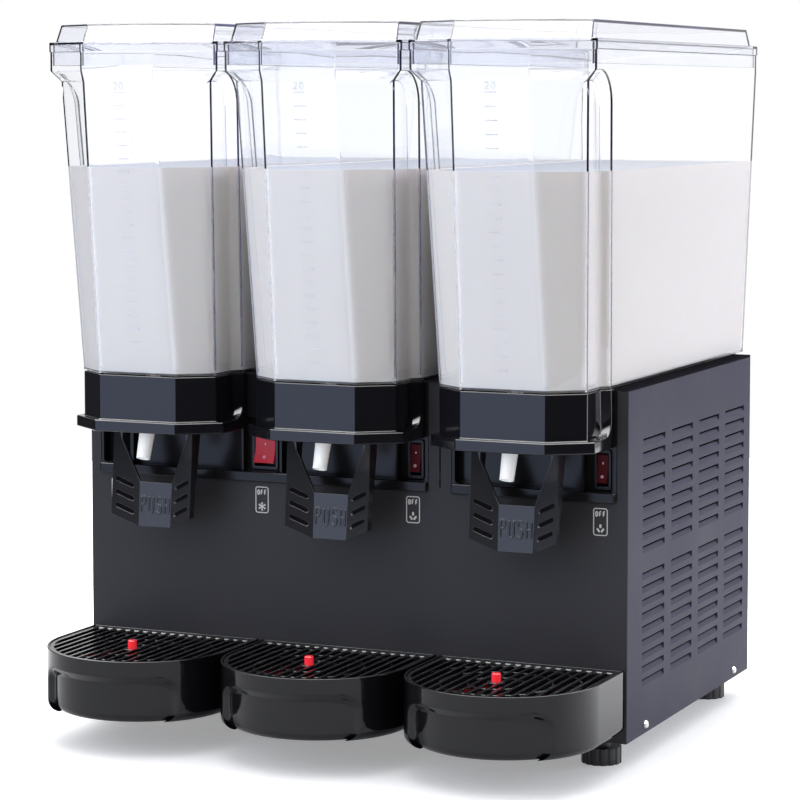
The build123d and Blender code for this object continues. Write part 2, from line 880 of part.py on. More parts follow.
# Drip trays: straight sides and a half-round front, with an arched inset panel that slopes out to the upper band
def tray_face(wall=0.0, mode=Mode.ADD):
    half = tray_half_width - wall
    rear = -slip - wall
    with BuildLine() as outline:
        Line((-half, rear), (-half, -tray_straight))
        ThreePointArc((-half, -tray_straight), (0, -tray_straight - half), (half, -tray_straight))
        Polyline((half, -tray_straight), (half, rear), (-half, rear))
    make_face(outline.edges(), mode=mode)


def tray_block(x, wall):
    with BuildPart() as block:
        with BuildSketch(level(x, tray_low_z)):
            tray_face(wall)
        extrude(amount=tray_height)
        fillet(block.faces().sort_by(Axis.Z)[0].edges().sort_by(Axis.Y)[:-1], tray_bottom_round)
    return block.part


def make_tray(name, x):
    panel_top = tray_top_z - tray_band
    ledge_z = grille_top_z - grille_thick
    inside_z = tray_low_z + tray_floor
    with BuildPart() as panel_cut:
        with BuildSketch(front_view(x, -tray_straight)) as arch:
            with Locations((0, (tray_low_z + panel_top) / 2)):
                Rectangle(2 * tray_panel_half_width, panel_top - tray_low_z)
            fillet(arch.vertices().group_by(Axis.Z)[-1], tray_arch_radius)
        extrude(amount=tray_reach)
        add(tray_block(x, tray_step), mode=Mode.SUBTRACT)
        with BuildSketch(level(x, panel_top - tray_slope_height)):
            with Locations((0, -tray_straight)):
                Circle(tray_half_width - tray_step)
        with BuildSketch(level(x, panel_top)):
            with Locations((0, -tray_straight)):
                Circle(tray_half_width)
        loft(ruled=True, mode=Mode.SUBTRACT)
    with BuildPart() as tray:
        add(tray_block(x, 0))
        add(panel_cut.part, mode=Mode.SUBTRACT)
        with BuildSketch(level(x, inside_z)):
            with Locations((0, -(tray_straight + slip + tray_wall) / 2)):
                Rectangle(2 * (tray_half_width - tray_wall), tray_straight - slip - tray_wall)
            with Locations((0, -tray_straight)):
                Circle(tray_half_width - tray_wall - tray_step)
            tray_face(tray_wall, mode=Mode.INTERSECT)
        extrude(amount=ledge_z - grille_ledge - inside_z, mode=Mode.SUBTRACT)
        with BuildSketch(level(x, ledge_z - grille_ledge)):
            tray_face(tray_wall + grille_ledge)
        extrude(amount=grille_ledge, mode=Mode.SUBTRACT)
        with BuildSketch(level(x, ledge_z)):
            tray_face(tray_wall)
        extrude(amount=tray_top_z - ledge_z, mode=Mode.SUBTRACT)
        with BuildSketch(front_view(x, tray_tongue_length)):
            with Locations((-tray_tongue_offset, tongue_z), (tray_tongue_offset, tongue_z)):
                Rectangle(tray_tongue_width, tray_tongue_thick)
        extrude(amount=tray_tongue_length + slip)
    save(tray, f"drip_tray_{name}")


# Grilles: bars that run front to back in a frame, with lower ring ribs round the float's hole
def make_grille(name, x):
    low = grille_top_z - grille_thick
    inner = tray_wall + slip + grille_border
    gap_pitch = 2 * (tray_half_width - inner) / grille_bar_count
    with BuildPart() as grille:
        with BuildSketch(level(x, low)):
            tray_face(inner - grille_border / 2)
            with GridLocations(gap_pitch, 1, grille_bar_count, 1):
                Rectangle(gap_pitch - grille_bar, 2 * tray_reach, mode=Mode.SUBTRACT)
        extrude(amount=grille_thick)
        with BuildSketch(level(x, low)):
            tray_face(tray_wall + slip)
            tray_face(inner, mode=Mode.SUBTRACT)
        extrude(amount=grille_thick)
        for ring in range(grille_ring_count):
            radius = (ring + 1) * grille_ring_pitch
            with BuildSketch(level(x, low)):
                with Locations((0, float_y)):
                    Circle(radius + grille_ring_width / 2)
                    Circle(radius - grille_ring_width / 2, mode=Mode.SUBTRACT)
                tray_face(inner - grille_border / 2, mode=Mode.INTERSECT)
            extrude(amount=grille_ring_thick)
        with BuildSketch(level(x, low)):
            with Locations((0, float_y)):
                Circle(float_collar_radius)
        extrude(amount=grille_thick)
        with BuildSketch(level(x, low)):
            with Locations((0, float_y)):
                Circle(float_cap_radius + float_hole_clearance)
        extrude(amount=grille_thick, mode=Mode.SUBTRACT)
    save(grille, f"drip_grille_{name}")


def make_float(name, x):
    disc_low = tray_low_z + tray_floor
    with BuildPart() as marker:
        with BuildSketch(level(x, disc_low)):
            with Locations((0, float_y)):
                Circle(float_disc_radius)
        extrude(amount=float_disc_height)
        with BuildSketch(level(x, disc_low + float_disc_height)):
            with Locations((0, float_y)):
                Circle(float_cap_radius)
        extrude(amount=grille_top_z + float_cap_height - disc_low - float_disc_height)
        fillet(marker.faces().sort_by(Axis.Z)[-1].edges(), float_cap_round)
    save(marker, f"float_{name}")


# Front panel: one sheet with two windows for the bezels and slots for the trays' tongues
def make_front_panel():
    with BuildPart() as panel:
        with BuildSketch(front_view(0, sheet)):
            with Locations((0, (base_z + deck_low_z) / 2)):
                Rectangle(2 * half_width, deck_low_z - base_z)
            for start, end in bezel_spans.values():
                with Locations(((start + end) / 2, (window_floor_z + deck_z) / 2)):
                    Rectangle(end - start, deck_z - window_floor_z, mode=Mode.SUBTRACT)
            with Locations((mullion_x, (window_floor_z + deck_z) / 2)):
                Rectangle(mullion_slit, deck_z - window_floor_z, mode=Mode.SUBTRACT)
            tongues = [(x + side * tray_tongue_offset, tongue_z) for x in module_x.values() for side in (-1, 1)]
            with Locations(*tongues):
                Rectangle(
                    tray_tongue_width + 2 * tray_tongue_slip,
                    tray_tongue_thick + 2 * tray_tongue_slip,
                    mode=Mode.SUBTRACT,
                )
        extrude(amount=sheet)
    save(panel, "front_panel")


# Side panels: sheets with louvres pressed inwards, each open along its upper edge
def make_side_panel(name, side):
    outer = side * half_width
    inner = side * (half_width - sheet)
    deep = side * (half_width - louvre_depth)
    deeper = side * (half_width - louvre_depth - sheet)
    bands = [(height - louvre_opening / 2, height + louvre_opening / 2) for height in louvre_heights]
    with BuildPart() as panel:
        with BuildSketch(side_view(outer)):
            with Locations(((sheet + cabinet_depth) / 2, (base_z + deck_low_z) / 2)):
                Rectangle(cabinet_depth - sheet, deck_low_z - base_z)
            slots = [(start + louvre_length / 2, height) for start in louvre_starts for height in louvre_heights]
            with Locations(*slots):
                Rectangle(louvre_length, louvre_opening, mode=Mode.SUBTRACT)
            with Locations(*side_screws):
                Circle(screw_shank_radius + slip, mode=Mode.SUBTRACT)
        extrude(amount=-side * sheet)
        louvres = []
        for start in louvre_starts:
            with BuildSketch(front_view(0, start)):
                for low, high in bands:
                    Polygon((outer, low), (deep, high), (deeper, high), (inner, low), align=None)
            louvres.append(extrude(amount=-louvre_length, mode=Mode.PRIVATE))
            for end in (start, start + louvre_length - sheet):
                with BuildSketch(front_view(0, end)):
                    for low, high in bands:
                        Polygon((outer, low), (outer, high), (deep, high), align=None)
                louvres.append(extrude(amount=-sheet, mode=Mode.PRIVATE))
        add(louvres)
        flange_low = base_z + pan_wall + sheet
        with BuildSketch(front_view(inner, cabinet_depth - 2 * sheet)):
            with Locations((-side * side_flange / 2, (flange_low + deck_low_z) / 2)):
                Rectangle(side_flange, deck_low_z - flange_low)
            with Locations((-side * rear_screw_inset, rear_screw_high_z)):
                Circle(screw_shank_radius + slip, mode=Mode.SUBTRACT)
        extrude(amount=-sheet)
    save(panel, name)


def make_rear_panel():
    with BuildPart() as panel:
        with BuildSketch(front_view(0, cabinet_depth)):
            with Locations((0, (base_z + deck_low_z) / 2)):
                Rectangle(2 * (half_width - sheet), deck_low_z - base_z)
            with Locations((0, vent_low_z + (vent_rows - 1) * vent_row_pitch / 2)):
                with GridLocations(vent_column_pitch, vent_row_pitch, vent_columns, vent_rows):
                    Rectangle(vent_length, vent_height, mode=Mode.SUBTRACT)
            with Locations((inlet_x, inlet_z)):
                Rectangle(2 * (inlet_half_width + slip), 2 * (inlet_half_height + slip), mode=Mode.SUBTRACT)
            with Locations(*rear_screws):
                Circle(screw_shank_radius + slip, mode=Mode.SUBTRACT)
        extrude(amount=sheet)
    save(panel, "rear_panel")


def make_top_deck():
    with BuildPart() as deck:
        with BuildSketch(level(0, deck_low_z)):
            with Locations((0, cabinet_depth / 2)):
                Rectangle(2 * half_width, cabinet_depth)
            with Locations(*[(x, evaporator_y) for x in module_x.values()]):
                Circle(neck_radius + slip, mode=Mode.SUBTRACT)
        extrude(amount=deck_z - deck_low_z)
    save(deck, "top_deck")


def make_base_pan():
    width = 2 * (half_width - sheet)
    depth = cabinet_depth - 2 * sheet
    with BuildPart() as pan:
        with BuildSketch(level(0, base_z)):
            with Locations((0, cabinet_depth / 2)):
                Rectangle(width, depth)
        extrude(amount=pan_wall)
        with BuildSketch(level(0, pan_floor_z)):
            with Locations((0, cabinet_depth / 2)):
                Rectangle(width - 2 * pan_thick, depth - 2 * pan_thick)
        extrude(amount=pan_wall, mode=Mode.SUBTRACT)
        with BuildSketch(level(0, pan_floor_z)):
            with Locations(*foot_places.values()):
                Circle(pan_boss_radius)
        extrude(amount=pan_boss_height)
        with BuildSketch(level(0, base_z)):
            with Locations(*foot_places.values()):
                Circle(foot_stem_radius + fit)
        extrude(amount=pan_thick + pan_boss_height, mode=Mode.SUBTRACT)
        with BuildSketch(side_view(-half_width)):
            with Locations(*side_screws):
                Circle(screw_shank_radius + slip)
        extrude(amount=2 * half_width, mode=Mode.SUBTRACT)
        with BuildSketch(front_view(0, cabinet_depth)):
            with Locations(*[place for place in rear_screws if place[1] == screw_low_z]):
                Circle(screw_shank_radius + slip)
        extrude(amount=sheet + 2 * pan_thick, mode=Mode.SUBTRACT)
    save(pan, "base_pan")


def make_foot(name, x, y):
    with BuildPart() as foot:
        with BuildSketch(level(x, 0)):
            with Locations((0, y)):
                Circle(foot_radius)
                with PolarLocations(foot_radius + foot_scallop_radius / 2, foot_scallops):
                    Circle(foot_scallop_radius, mode=Mode.SUBTRACT)
        extrude(amount=foot_disc_height)
        with BuildSketch(level(x, foot_disc_height)):
            with Locations((0, y)):
                Circle(foot_neck_radius)
        extrude(amount=foot_height - foot_disc_height)
        with BuildSketch(level(x, foot_height)):
            with Locations((0, y)):
                Circle(foot_stem_radius)
        extrude(amount=foot_stem_length)
    save(foot, name)


def make_screws():
    with BuildPart() as screws:
        for side in (-1, 1):
            with BuildSketch(side_view(side * half_width)):
                with Locations(*side_screws):
                    Circle(screw_head_radius)
            extrude(amount=side * screw_head_height, taper=screw_head_taper)
            with BuildSketch(side_view(side * half_width)):
                with Locations(*side_screws):
                    Circle(screw_shank_radius)
            extrude(amount=-side * screw_shank_length)
        with BuildSketch(front_view(0, cabinet_depth)):
            with Locations(*rear_screws):
                Circle(screw_head_radius)
        extrude(amount=-screw_head_height, taper=screw_head_taper)
        with BuildSketch(front_view(0, cabinet_depth)):
            with Locations(*rear_screws):
                Circle(screw_shank_radius)
        extrude(amount=screw_shank_length)
    save(screws, "cabinet_screws")


# Evaporators stand through the deck into the tanks, with room inside for the mixer's drive
def make_evaporators():
    ceiling = evaporator_top - evaporator_crown
    flange_top = deck_z + evaporator_flange_thick
    shoulder = evaporator_radius - evaporator_shoulder
    with BuildPart() as evaporators:
        for x in module_x.values():
            with BuildSketch(front_view(x, evaporator_y)):
                with BuildLine():
                    Polyline(
                        (shoulder, evaporator_top),
                        (post_radius, evaporator_top),
                        (post_radius, evaporator_top + post_height),
                        (0, evaporator_top + post_height),
                        (0, ceiling),
                        (evaporator_radius - evaporator_wall, ceiling),
                        (evaporator_radius - evaporator_wall, flange_top),
                        (neck_bore_radius, flange_top),
                        (neck_bore_radius, neck_bottom),
                        (neck_radius, neck_bottom),
                        (neck_radius, deck_z),
                        (evaporator_flange_radius, deck_z),
                        (evaporator_flange_radius, flange_top),
                        (evaporator_radius, flange_top),
                        (evaporator_radius, evaporator_top - evaporator_shoulder),
                    )
                    RadiusArc(
                        (evaporator_radius, evaporator_top - evaporator_shoulder),
                        (shoulder, evaporator_top),
                        -evaporator_shoulder,
                    )
                make_face()
            revolve(axis=Axis((x, front_y + evaporator_y, 0), (0, 0, 1)))
            for offset, radius in ((-stub_offset, suction_radius), (stub_offset, liquid_radius)):
                with BuildSketch(level(x + offset, neck_bottom)):
                    with Locations((0, evaporator_y)):
                        Circle(radius)
                extrude(amount=-stub_length)
    save(evaporators, "evaporators")


def make_gaskets():
    inner = evaporator_radius + slip
    with BuildPart() as gaskets:
        with BuildSketch(level(0, floor_low - gasket_height)):
            with Locations(*[(x, evaporator_y) for x in module_x.values()]):
                Circle(inner + gasket_width)
                Circle(inner, mode=Mode.SUBTRACT)
        extrude(amount=gasket_height)
    save(gaskets, "tank_gaskets")


def make_motors():
    with BuildPart() as motors:
        for x in module_x.values():
            with BuildSketch(level(x, motor_top)):
                with Locations((0, evaporator_y)):
                    Rectangle(2 * motor_bracket_half_width, 2 * neck_radius)
            extrude(amount=motor_bracket_thick)
            with BuildSketch(level(x, motor_top)):
                with Locations((0, evaporator_y)):
                    Circle(motor_radius)
            extrude(amount=-motor_length)
            with BuildSketch(level(x, neck_bottom)):
                with Locations((0, evaporator_y)):
                    Circle(drive_shaft_radius + fit)
            extrude(amount=-motor_shaft_depth - slip, mode=Mode.SUBTRACT)
    save(motors, "mixer_motors")


def make_drive_magnet(name, x):
    magnet_low = evaporator_top - evaporator_crown - magnet_gap - magnet_thick
    shaft_low = neck_bottom - motor_shaft_depth
    with BuildPart() as magnet:
        with BuildSketch(level(x, magnet_low)):
            with Locations((0, evaporator_y)):
                Circle(magnet_radius)
        extrude(amount=magnet_thick)
        with BuildSketch(level(x, shaft_low)):
            with Locations((0, evaporator_y)):
                Circle(drive_shaft_radius)
        extrude(amount=magnet_low - shaft_low)
        with BuildSketch(level(x, magnet_low)):
            with Locations((0, evaporator_y)):
                with PolarLocations(magnet_pole_offset, magnet_poles):
                    Rectangle(magnet_pole_length, magnet_pole_width)
        extrude(amount=-magnet_pole_depth)
    save(magnet, f"drive_magnet_{name}")


def make_impeller(name, x):
    low = evaporator_top + slip
    with BuildPart() as impeller:
        with BuildSketch(level(x, low)):
            with Locations((0, evaporator_y)):
                Circle(impeller_hub_radius)
        extrude(amount=impeller_hub_height)
        with BuildSketch(level(x, low)):
            with Locations((0, evaporator_y)):
                with PolarLocations(impeller_radius / 2, impeller_blades):
                    Rectangle(impeller_radius, impeller_blade_thick)
        extrude(amount=impeller_blade_height)
        with BuildSketch(level(x, low)):
            with Locations((0, evaporator_y)):
                Circle(post_radius + fit)
        extrude(amount=impeller_hub_height, mode=Mode.SUBTRACT)
    save(impeller, f"impeller_{name}")


# Outlet tubes: round above and below, pressed flat where the lever's bar closes them
def make_outlet_tubes():
    tilt = (0, tube_exit_y - tube_tip_y, tube_exit_z - tube_tip_z)
    top_z = deck_z - tube_top_drop
    round_z = deck_z - guide_drop - guide_thick
    with BuildPart() as tubes:
        for x in module_x.values():
            exit_plane = Plane(origin=(x, front_y + tube_exit_y, tube_exit_z), x_dir=(1, 0, 0), z_dir=tilt)
            tip_plane = Plane(origin=(x, front_y + tube_tip_y, tube_tip_z), x_dir=(1, 0, 0), z_dir=tilt)
            with BuildSketch(level(x, round_z)):
                with Locations((0, tube_y)):
                    Circle(tube_radius)
            extrude(amount=top_z - round_z)
            with BuildSketch(level(x, round_z)):
                with Locations((0, tube_y)):
                    Circle(tube_radius)
            with BuildSketch(level(x, tube_pinch_z)):
                with Locations((0, tube_pinch_y)):
                    Ellipse(tube_pinch_width / 2, tube_pinch_thick / 2)
            loft(ruled=True)
            with BuildSketch(level(x, tube_pinch_z)):
                with Locations((0, tube_pinch_y)):
                    Ellipse(tube_pinch_width / 2, tube_pinch_thick / 2)
            with BuildSketch(exit_plane):
                Circle(tube_radius)
            loft(ruled=True)
            with BuildSketch(exit_plane):
                Circle(tube_radius)
            with BuildSketch(tip_plane):
                Circle(tube_tip_radius)
            loft(ruled=True)
            with BuildSketch(tip_plane):
                Circle(tube_bore_radius)
            extrude(amount=tube_tip_bore_depth, mode=Mode.SUBTRACT)
            with BuildSketch(level(x, top_z)):
                with Locations((0, tube_y)):
                    Circle(spigot_radius + fit)
            extrude(amount=-spigot_drop + tube_top_drop - slip, mode=Mode.SUBTRACT)
    save(tubes, "outlet_tubes")


def make_lever_pins():
    half = inset_half_side_bottom - nose_skin - slip
    with BuildPart() as pins:
        for x in module_x.values():
            with BuildSketch(side_view(x - half)):
                with Locations((lever_pivot_y, lever_pivot_z)):
                    Circle(lever_pin_radius)
            extrude(amount=2 * half)
    save(pins, "lever_pins")


# Torsion springs on the pins, each with one leg on the nose's rear wall and one behind the pinch bar
def make_lever_springs():
    inner = spring_radius - spring_wire
    with BuildPart() as springs:
        for x in module_x.values():
            with BuildSketch(side_view(x - spring_length / 2)):
                with Locations((lever_pivot_y, lever_pivot_z)):
                    Circle(spring_radius)
                    Circle(inner, mode=Mode.SUBTRACT)
            extrude(amount=spring_length)
            leg = spring_length / 2 - spring_wire
            with BuildSketch(front_view(x + leg, -nose_wall)):
                with Locations((0, lever_pivot_z + spring_radius - spring_wire / 2)):
                    Circle(spring_wire / 2)
            extrude(amount=-lever_pivot_y - nose_wall)
            with BuildSketch(level(x - leg, lever_pivot_z)):
                with Locations((0, lever_pivot_y - spring_radius + spring_wire / 2)):
                    Circle(spring_wire / 2)
            extrude(amount=-spring_leg)
    save(springs, "lever_springs")


# Refrigeration set on the base pan
def make_compressor():
    plate_z = pan_floor_z + grommet_height
    body_z = plate_z + compressor_plate_thick
    shoulder_z = body_z + compressor_body_height
    top_z = shoulder_z + compressor_dome_height
    with BuildPart() as compressor:
        with BuildSketch(level(compressor_x, plate_z)):
            with Locations((0, compressor_y)):
                RectangleRounded(2 * compressor_plate_half, 2 * compressor_plate_half, grommet_radius)
        extrude(amount=compressor_plate_thick)
        with BuildSketch(front_view(compressor_x, compressor_y)):
            with BuildLine():
                Polyline(
                    (compressor_top_radius, top_z),
                    (0, top_z),
                    (0, body_z),
                    (compressor_radius, body_z),
                    (compressor_radius, shoulder_z),
                )
                TangentArc((compressor_radius, shoulder_z), (compressor_top_radius, top_z), tangent=(0, 1))
            make_face()
        revolve(axis=Axis((compressor_x, front_y + compressor_y, 0), (0, 0, 1)))
        with BuildSketch(level(compressor_x, top_z)):
            with Locations((0, compressor_y)):
                Circle(suction_radius)
            with Locations((discharge_offset, compressor_y)):
                Circle(discharge_radius)
        extrude(amount=compressor_stub_height)
    save(compressor, "compressor")


def make_grommets():
    reach = compressor_plate_half - grommet_inset
    with BuildPart() as grommets:
        with BuildSketch(level(compressor_x, pan_floor_z)):
            with Locations((0, compressor_y)):
                with GridLocations(2 * reach, 2 * reach, 2, 2):
                    Circle(grommet_radius)
        extrude(amount=grommet_height)
    save(grommets, "compressor_grommets")


def make_condenser():
    depth = condenser_rear_y - condenser_front_y
    height = condenser_high_z - condenser_low_z
    middle = (condenser_front_y + condenser_rear_y) / 2
    fin_half = condenser_core_half + condenser_fin_reach
    with BuildPart() as condenser:
        with BuildSketch(level(condenser_x, condenser_low_z)):
            with Locations((0, middle)):
                Rectangle(2 * condenser_core_half, depth)
                with GridLocations(1, depth / condenser_fin_count, 1, condenser_fin_count):
                    Rectangle(2 * fin_half, condenser_fin_thick)
        extrude(amount=height)
        with BuildSketch(level(condenser_x, pan_floor_z)):
            with Locations((0, condenser_front_y), (0, condenser_rear_y)):
                Rectangle(2 * fin_half, condenser_plate)
        extrude(amount=condenser_high_z - pan_floor_z)
        with BuildSketch(level(condenser_x, condenser_high_z)):
            with Locations((0, discharge_y)):
                Circle(discharge_radius)
            with Locations((0, liquid_out_y)):
                Circle(liquid_radius)
        extrude(amount=condenser_stub_height)
    save(condenser, "condenser")


def make_fan():
    hub_start = fan_x - fan_hub_length / 2
    with BuildPart() as fan:
        with BuildSketch(side_view(hub_start)):
            with Locations((fan_y, fan_z)):
                Circle(fan_hub_radius)
        extrude(amount=fan_hub_length)
        with BuildSketch(side_view(hub_start)):
            with Locations((fan_y, fan_z)):
                Circle(fan_shaft_radius)
        extrude(amount=-fan_shaft_length)
        for blade in range(fan_blades):
            turn = 2 * math.pi * blade / fan_blades
            outwards = Vector(0, math.cos(turn), math.sin(turn))
            around = Vector(0, -math.sin(turn), math.cos(turn))
            for radius, chord, pitch in (
                (fan_hub_radius - fan_blade_thick, fan_root_chord, fan_root_pitch),
                (fan_radius, fan_tip_chord, fan_tip_pitch),
            ):
                lean = math.radians(pitch)
                chord_way = around * math.cos(lean) + Vector(1, 0, 0) * math.sin(lean)
                centre = Vector(fan_x, front_y + fan_y, fan_z) + outwards * radius
                with BuildSketch(Plane(origin=centre, x_dir=chord_way, z_dir=outwards)):
                    Rectangle(chord, fan_blade_thick)
            loft(ruled=True)
    save(fan, "condenser_fan")


def make_fan_motor():
    face = fan_x - fan_hub_length / 2 - fan_motor_gap
    with BuildPart() as motor:
        with BuildSketch(side_view(face)):
            with Locations((fan_y, fan_z)):
                Circle(fan_motor_radius)
        extrude(amount=-fan_motor_length)
        with BuildSketch(level(face - fan_motor_length / 2, pan_floor_z)):
            with Locations((0, fan_y)):
                Rectangle(fan_pedestal_half, 2 * fan_pedestal_half)
        extrude(amount=fan_z - pan_floor_z)
        with BuildSketch(level(face - fan_motor_length / 2, pan_floor_z)):
            with Locations((0, fan_y)):
                RectangleRounded(2 * fan_foot_half, 2 * fan_foot_half, fan_foot_thick)
        extrude(amount=fan_foot_thick)
        with BuildSketch(side_view(face)):
            with Locations((fan_y, fan_z)):
                Circle(fan_shaft_radius + fit)
        extrude(amount=-fan_shaft_length, mode=Mode.SUBTRACT)
    save(motor, "fan_motor")


def sweep_pipe(radius, bend, points):
    with BuildLine() as route:
        FilletPolyline(*[(x, front_y + y, z) for x, y, z in points], radius=bend)
    with BuildSketch(Plane(origin=route.line @ 0, z_dir=route.line % 0)) as section:
        Circle(radius)
    sweep(section.sketch, path=route.line)


def make_lines():
    stub_z = pan_floor_z + grommet_height + compressor_plate_thick + compressor_body_height
    stub_z += compressor_dome_height + compressor_stub_height
    header_z = condenser_high_z + condenser_stub_height
    riser_z = neck_bottom - stub_length
    drier_end = drier_half_length + drier_neck
    first, last = module_x[module_names[0]], module_x[module_names[-1]]
    with BuildPart() as lines:
        discharge_x = compressor_x + discharge_offset
        sweep_pipe(
            discharge_radius,
            line_bend,
            [
                (discharge_x, compressor_y, stub_z),
                (discharge_x, compressor_y, discharge_z),
                (discharge_x, discharge_y, discharge_z),
                (condenser_x, discharge_y, discharge_z),
                (condenser_x, discharge_y, header_z),
            ],
        )
        sweep_pipe(
            liquid_radius,
            line_bend,
            [
                (condenser_x, liquid_out_y, header_z),
                (condenser_x, liquid_out_y, drier_z),
                (drier_x + drier_end, drier_y, drier_z),
            ],
        )
        sweep_pipe(
            liquid_radius,
            line_bend,
            [
                (drier_x - drier_end, drier_y, drier_z),
                (module_x["middle"], drier_y, drier_z),
                (module_x["middle"], liquid_y, drier_z),
                (module_x["middle"], liquid_y, manifold_z),
            ],
        )
        for x in module_x.values():
            for offset, radius, manifold_y in (
                (-stub_offset, suction_radius, suction_y),
                (stub_offset, liquid_radius, liquid_y),
            ):
                sweep_pipe(
                    radius,
                    riser_bend,
                    [
                        (x + offset, evaporator_y, riser_z),
                        (x + offset, evaporator_y, manifold_z),
                        (x + offset, manifold_y, manifold_z),
                    ],
                )
        for offset, radius, manifold_y in (
            (-stub_offset, suction_radius, suction_y),
            (stub_offset, liquid_radius, liquid_y),
        ):
            header = radius + header_swell
            with BuildSketch(side_view(first + offset - 2 * header)):
                with Locations((manifold_y, manifold_z)):
                    Circle(header)
            extrude(amount=last - first + 4 * header)
        with BuildSketch(level(compressor_x, stub_z)):
            with Locations((0, compressor_y)):
                Circle(suction_radius)
        extrude(amount=manifold_z - stub_z)
    save(lines, "refrigerant_lines")


def make_drier():
    with BuildPart() as drier:
        with BuildSketch(front_view(drier_x, drier_y)):
            with BuildLine():
                Polyline(
                    (drier_half_length + drier_neck, drier_z),
                    (-drier_half_length - drier_neck, drier_z),
                    (-drier_half_length - drier_neck, drier_z + liquid_radius),
                    (-drier_half_length, drier_z + drier_radius),
                    (drier_half_length, drier_z + drier_radius),
                    (drier_half_length + drier_neck, drier_z + liquid_radius),
                    close=True,
                )
            make_face()
        revolve(axis=Axis((drier_x, front_y + drier_y, drier_z), (1, 0, 0)))
    save(drier, "filter_drier")


def make_control_box():
    with BuildPart() as box:
        with BuildSketch(level(control_x, pan_floor_z)):
            with Locations((0, control_y)):
                RectangleRounded(2 * control_half_width, 2 * control_half_depth, control_round)
        extrude(amount=control_height)
        with BuildSketch(level(control_x, pan_floor_z + control_height)):
            with Locations((0, control_y)):
                RectangleRounded(
                    2 * (control_half_width + control_lid_lip),
                    2 * (control_half_depth + control_lid_lip),
                    control_round,
                )
        extrude(amount=control_lid_thick)
    save(box, "control_box")


def make_mains_inlet():
    with BuildPart() as inlet:
        with BuildSketch(front_view(inlet_x, cabinet_depth)):
            with Locations((0, inlet_z)):
                RectangleRounded(
                    2 * (inlet_half_width + inlet_flange),
                    2 * (inlet_half_height + inlet_flange),
                    inlet_flange,
                )
        extrude(amount=-inlet_flange_thick)
        with BuildSketch(front_view(inlet_x, cabinet_depth)):
            with Locations((0, inlet_z)):
                Rectangle(2 * inlet_half_width, 2 * inlet_half_height)
        extrude(amount=inlet_body_depth)
        with BuildSketch(front_view(inlet_x, cabinet_depth + inlet_flange_thick)):
            with Locations((0, inlet_z)):
                RectangleRounded(
                    2 * (inlet_half_width - inlet_wall),
                    2 * (inlet_half_height - inlet_wall),
                    inlet_wall,
                )
        extrude(amount=inlet_pocket_depth, mode=Mode.SUBTRACT)
        with BuildSketch(front_view(inlet_x, cabinet_depth + inlet_flange_thick - inlet_pocket_depth)):
            with Locations((0, inlet_z)):
                with Locations((-inlet_blade_pitch, 0), (0, inlet_blade_rise), (inlet_blade_pitch, 0)):
                    Rectangle(inlet_blade_width, inlet_blade_height)
        extrude(amount=-inlet_blade_length)
    save(inlet, "mains_inlet")


for module, place in module_x.items():
    make_tank(module, place)
    make_lid(module, place)
    make_nose(module, place)
    make_lever(module, place)
    make_tray(module, place)
    make_grille(module, place)
    make_float(module, place)
    make_drive_magnet(module, place)
    make_impeller(module, place)
make_bezel("bezel_double")
make_bezel("bezel_single")
make_switch_bodies()
for rocker_name, (rocker_x, rocker_width) in switch_places.items():
    make_rocker(rocker_name, rocker_x, rocker_width)
make_front_panel()
make_side_panel("side_panel_left", -1)
make_side_panel("side_panel_right", 1)
make_rear_panel()
make_top_deck()
make_base_pan()
for foot_name, (foot_place_x, foot_place_y) in foot_places.items():
    make_foot(foot_name, foot_place_x, foot_place_y)
make_screws()
make_evaporators()
make_gaskets()
make_motors()
make_outlet_tubes()
make_lever_pins()
make_lever_springs()
make_compressor()
make_grommets()
make_condenser()
make_fan()
make_fan_motor()
make_lines()
make_drier()
make_control_box()
make_mains_inlet()
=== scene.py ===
import json
import math

import bmesh
import bpy
import numpy as np
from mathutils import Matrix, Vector
from mathutils.bvhtree import BVHTree

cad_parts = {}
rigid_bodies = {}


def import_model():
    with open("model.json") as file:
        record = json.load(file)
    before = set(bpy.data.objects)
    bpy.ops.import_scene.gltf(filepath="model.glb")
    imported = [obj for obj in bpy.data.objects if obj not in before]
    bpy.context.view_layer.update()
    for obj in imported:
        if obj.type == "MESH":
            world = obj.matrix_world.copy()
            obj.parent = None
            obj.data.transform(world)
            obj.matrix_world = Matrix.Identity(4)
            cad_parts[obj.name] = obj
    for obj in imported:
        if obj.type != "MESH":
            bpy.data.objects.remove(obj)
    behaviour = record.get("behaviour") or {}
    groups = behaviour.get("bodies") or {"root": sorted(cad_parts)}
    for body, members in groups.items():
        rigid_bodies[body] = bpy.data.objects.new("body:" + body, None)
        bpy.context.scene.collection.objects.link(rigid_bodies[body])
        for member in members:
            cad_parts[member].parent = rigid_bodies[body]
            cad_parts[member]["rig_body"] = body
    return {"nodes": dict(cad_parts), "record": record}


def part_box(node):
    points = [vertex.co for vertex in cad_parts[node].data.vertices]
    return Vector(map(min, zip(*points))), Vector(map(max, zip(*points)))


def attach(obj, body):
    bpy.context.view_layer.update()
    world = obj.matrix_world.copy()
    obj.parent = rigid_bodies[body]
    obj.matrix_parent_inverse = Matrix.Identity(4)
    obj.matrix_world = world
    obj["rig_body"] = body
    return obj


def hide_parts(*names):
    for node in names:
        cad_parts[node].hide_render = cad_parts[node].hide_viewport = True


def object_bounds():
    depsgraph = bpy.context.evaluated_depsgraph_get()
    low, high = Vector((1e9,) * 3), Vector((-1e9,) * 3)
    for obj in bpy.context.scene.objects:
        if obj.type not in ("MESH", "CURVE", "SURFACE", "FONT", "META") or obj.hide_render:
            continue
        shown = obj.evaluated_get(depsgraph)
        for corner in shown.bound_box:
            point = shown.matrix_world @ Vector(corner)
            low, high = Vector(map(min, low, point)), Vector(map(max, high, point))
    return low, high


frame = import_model()
cadLow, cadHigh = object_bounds()
nodes = frame["nodes"]
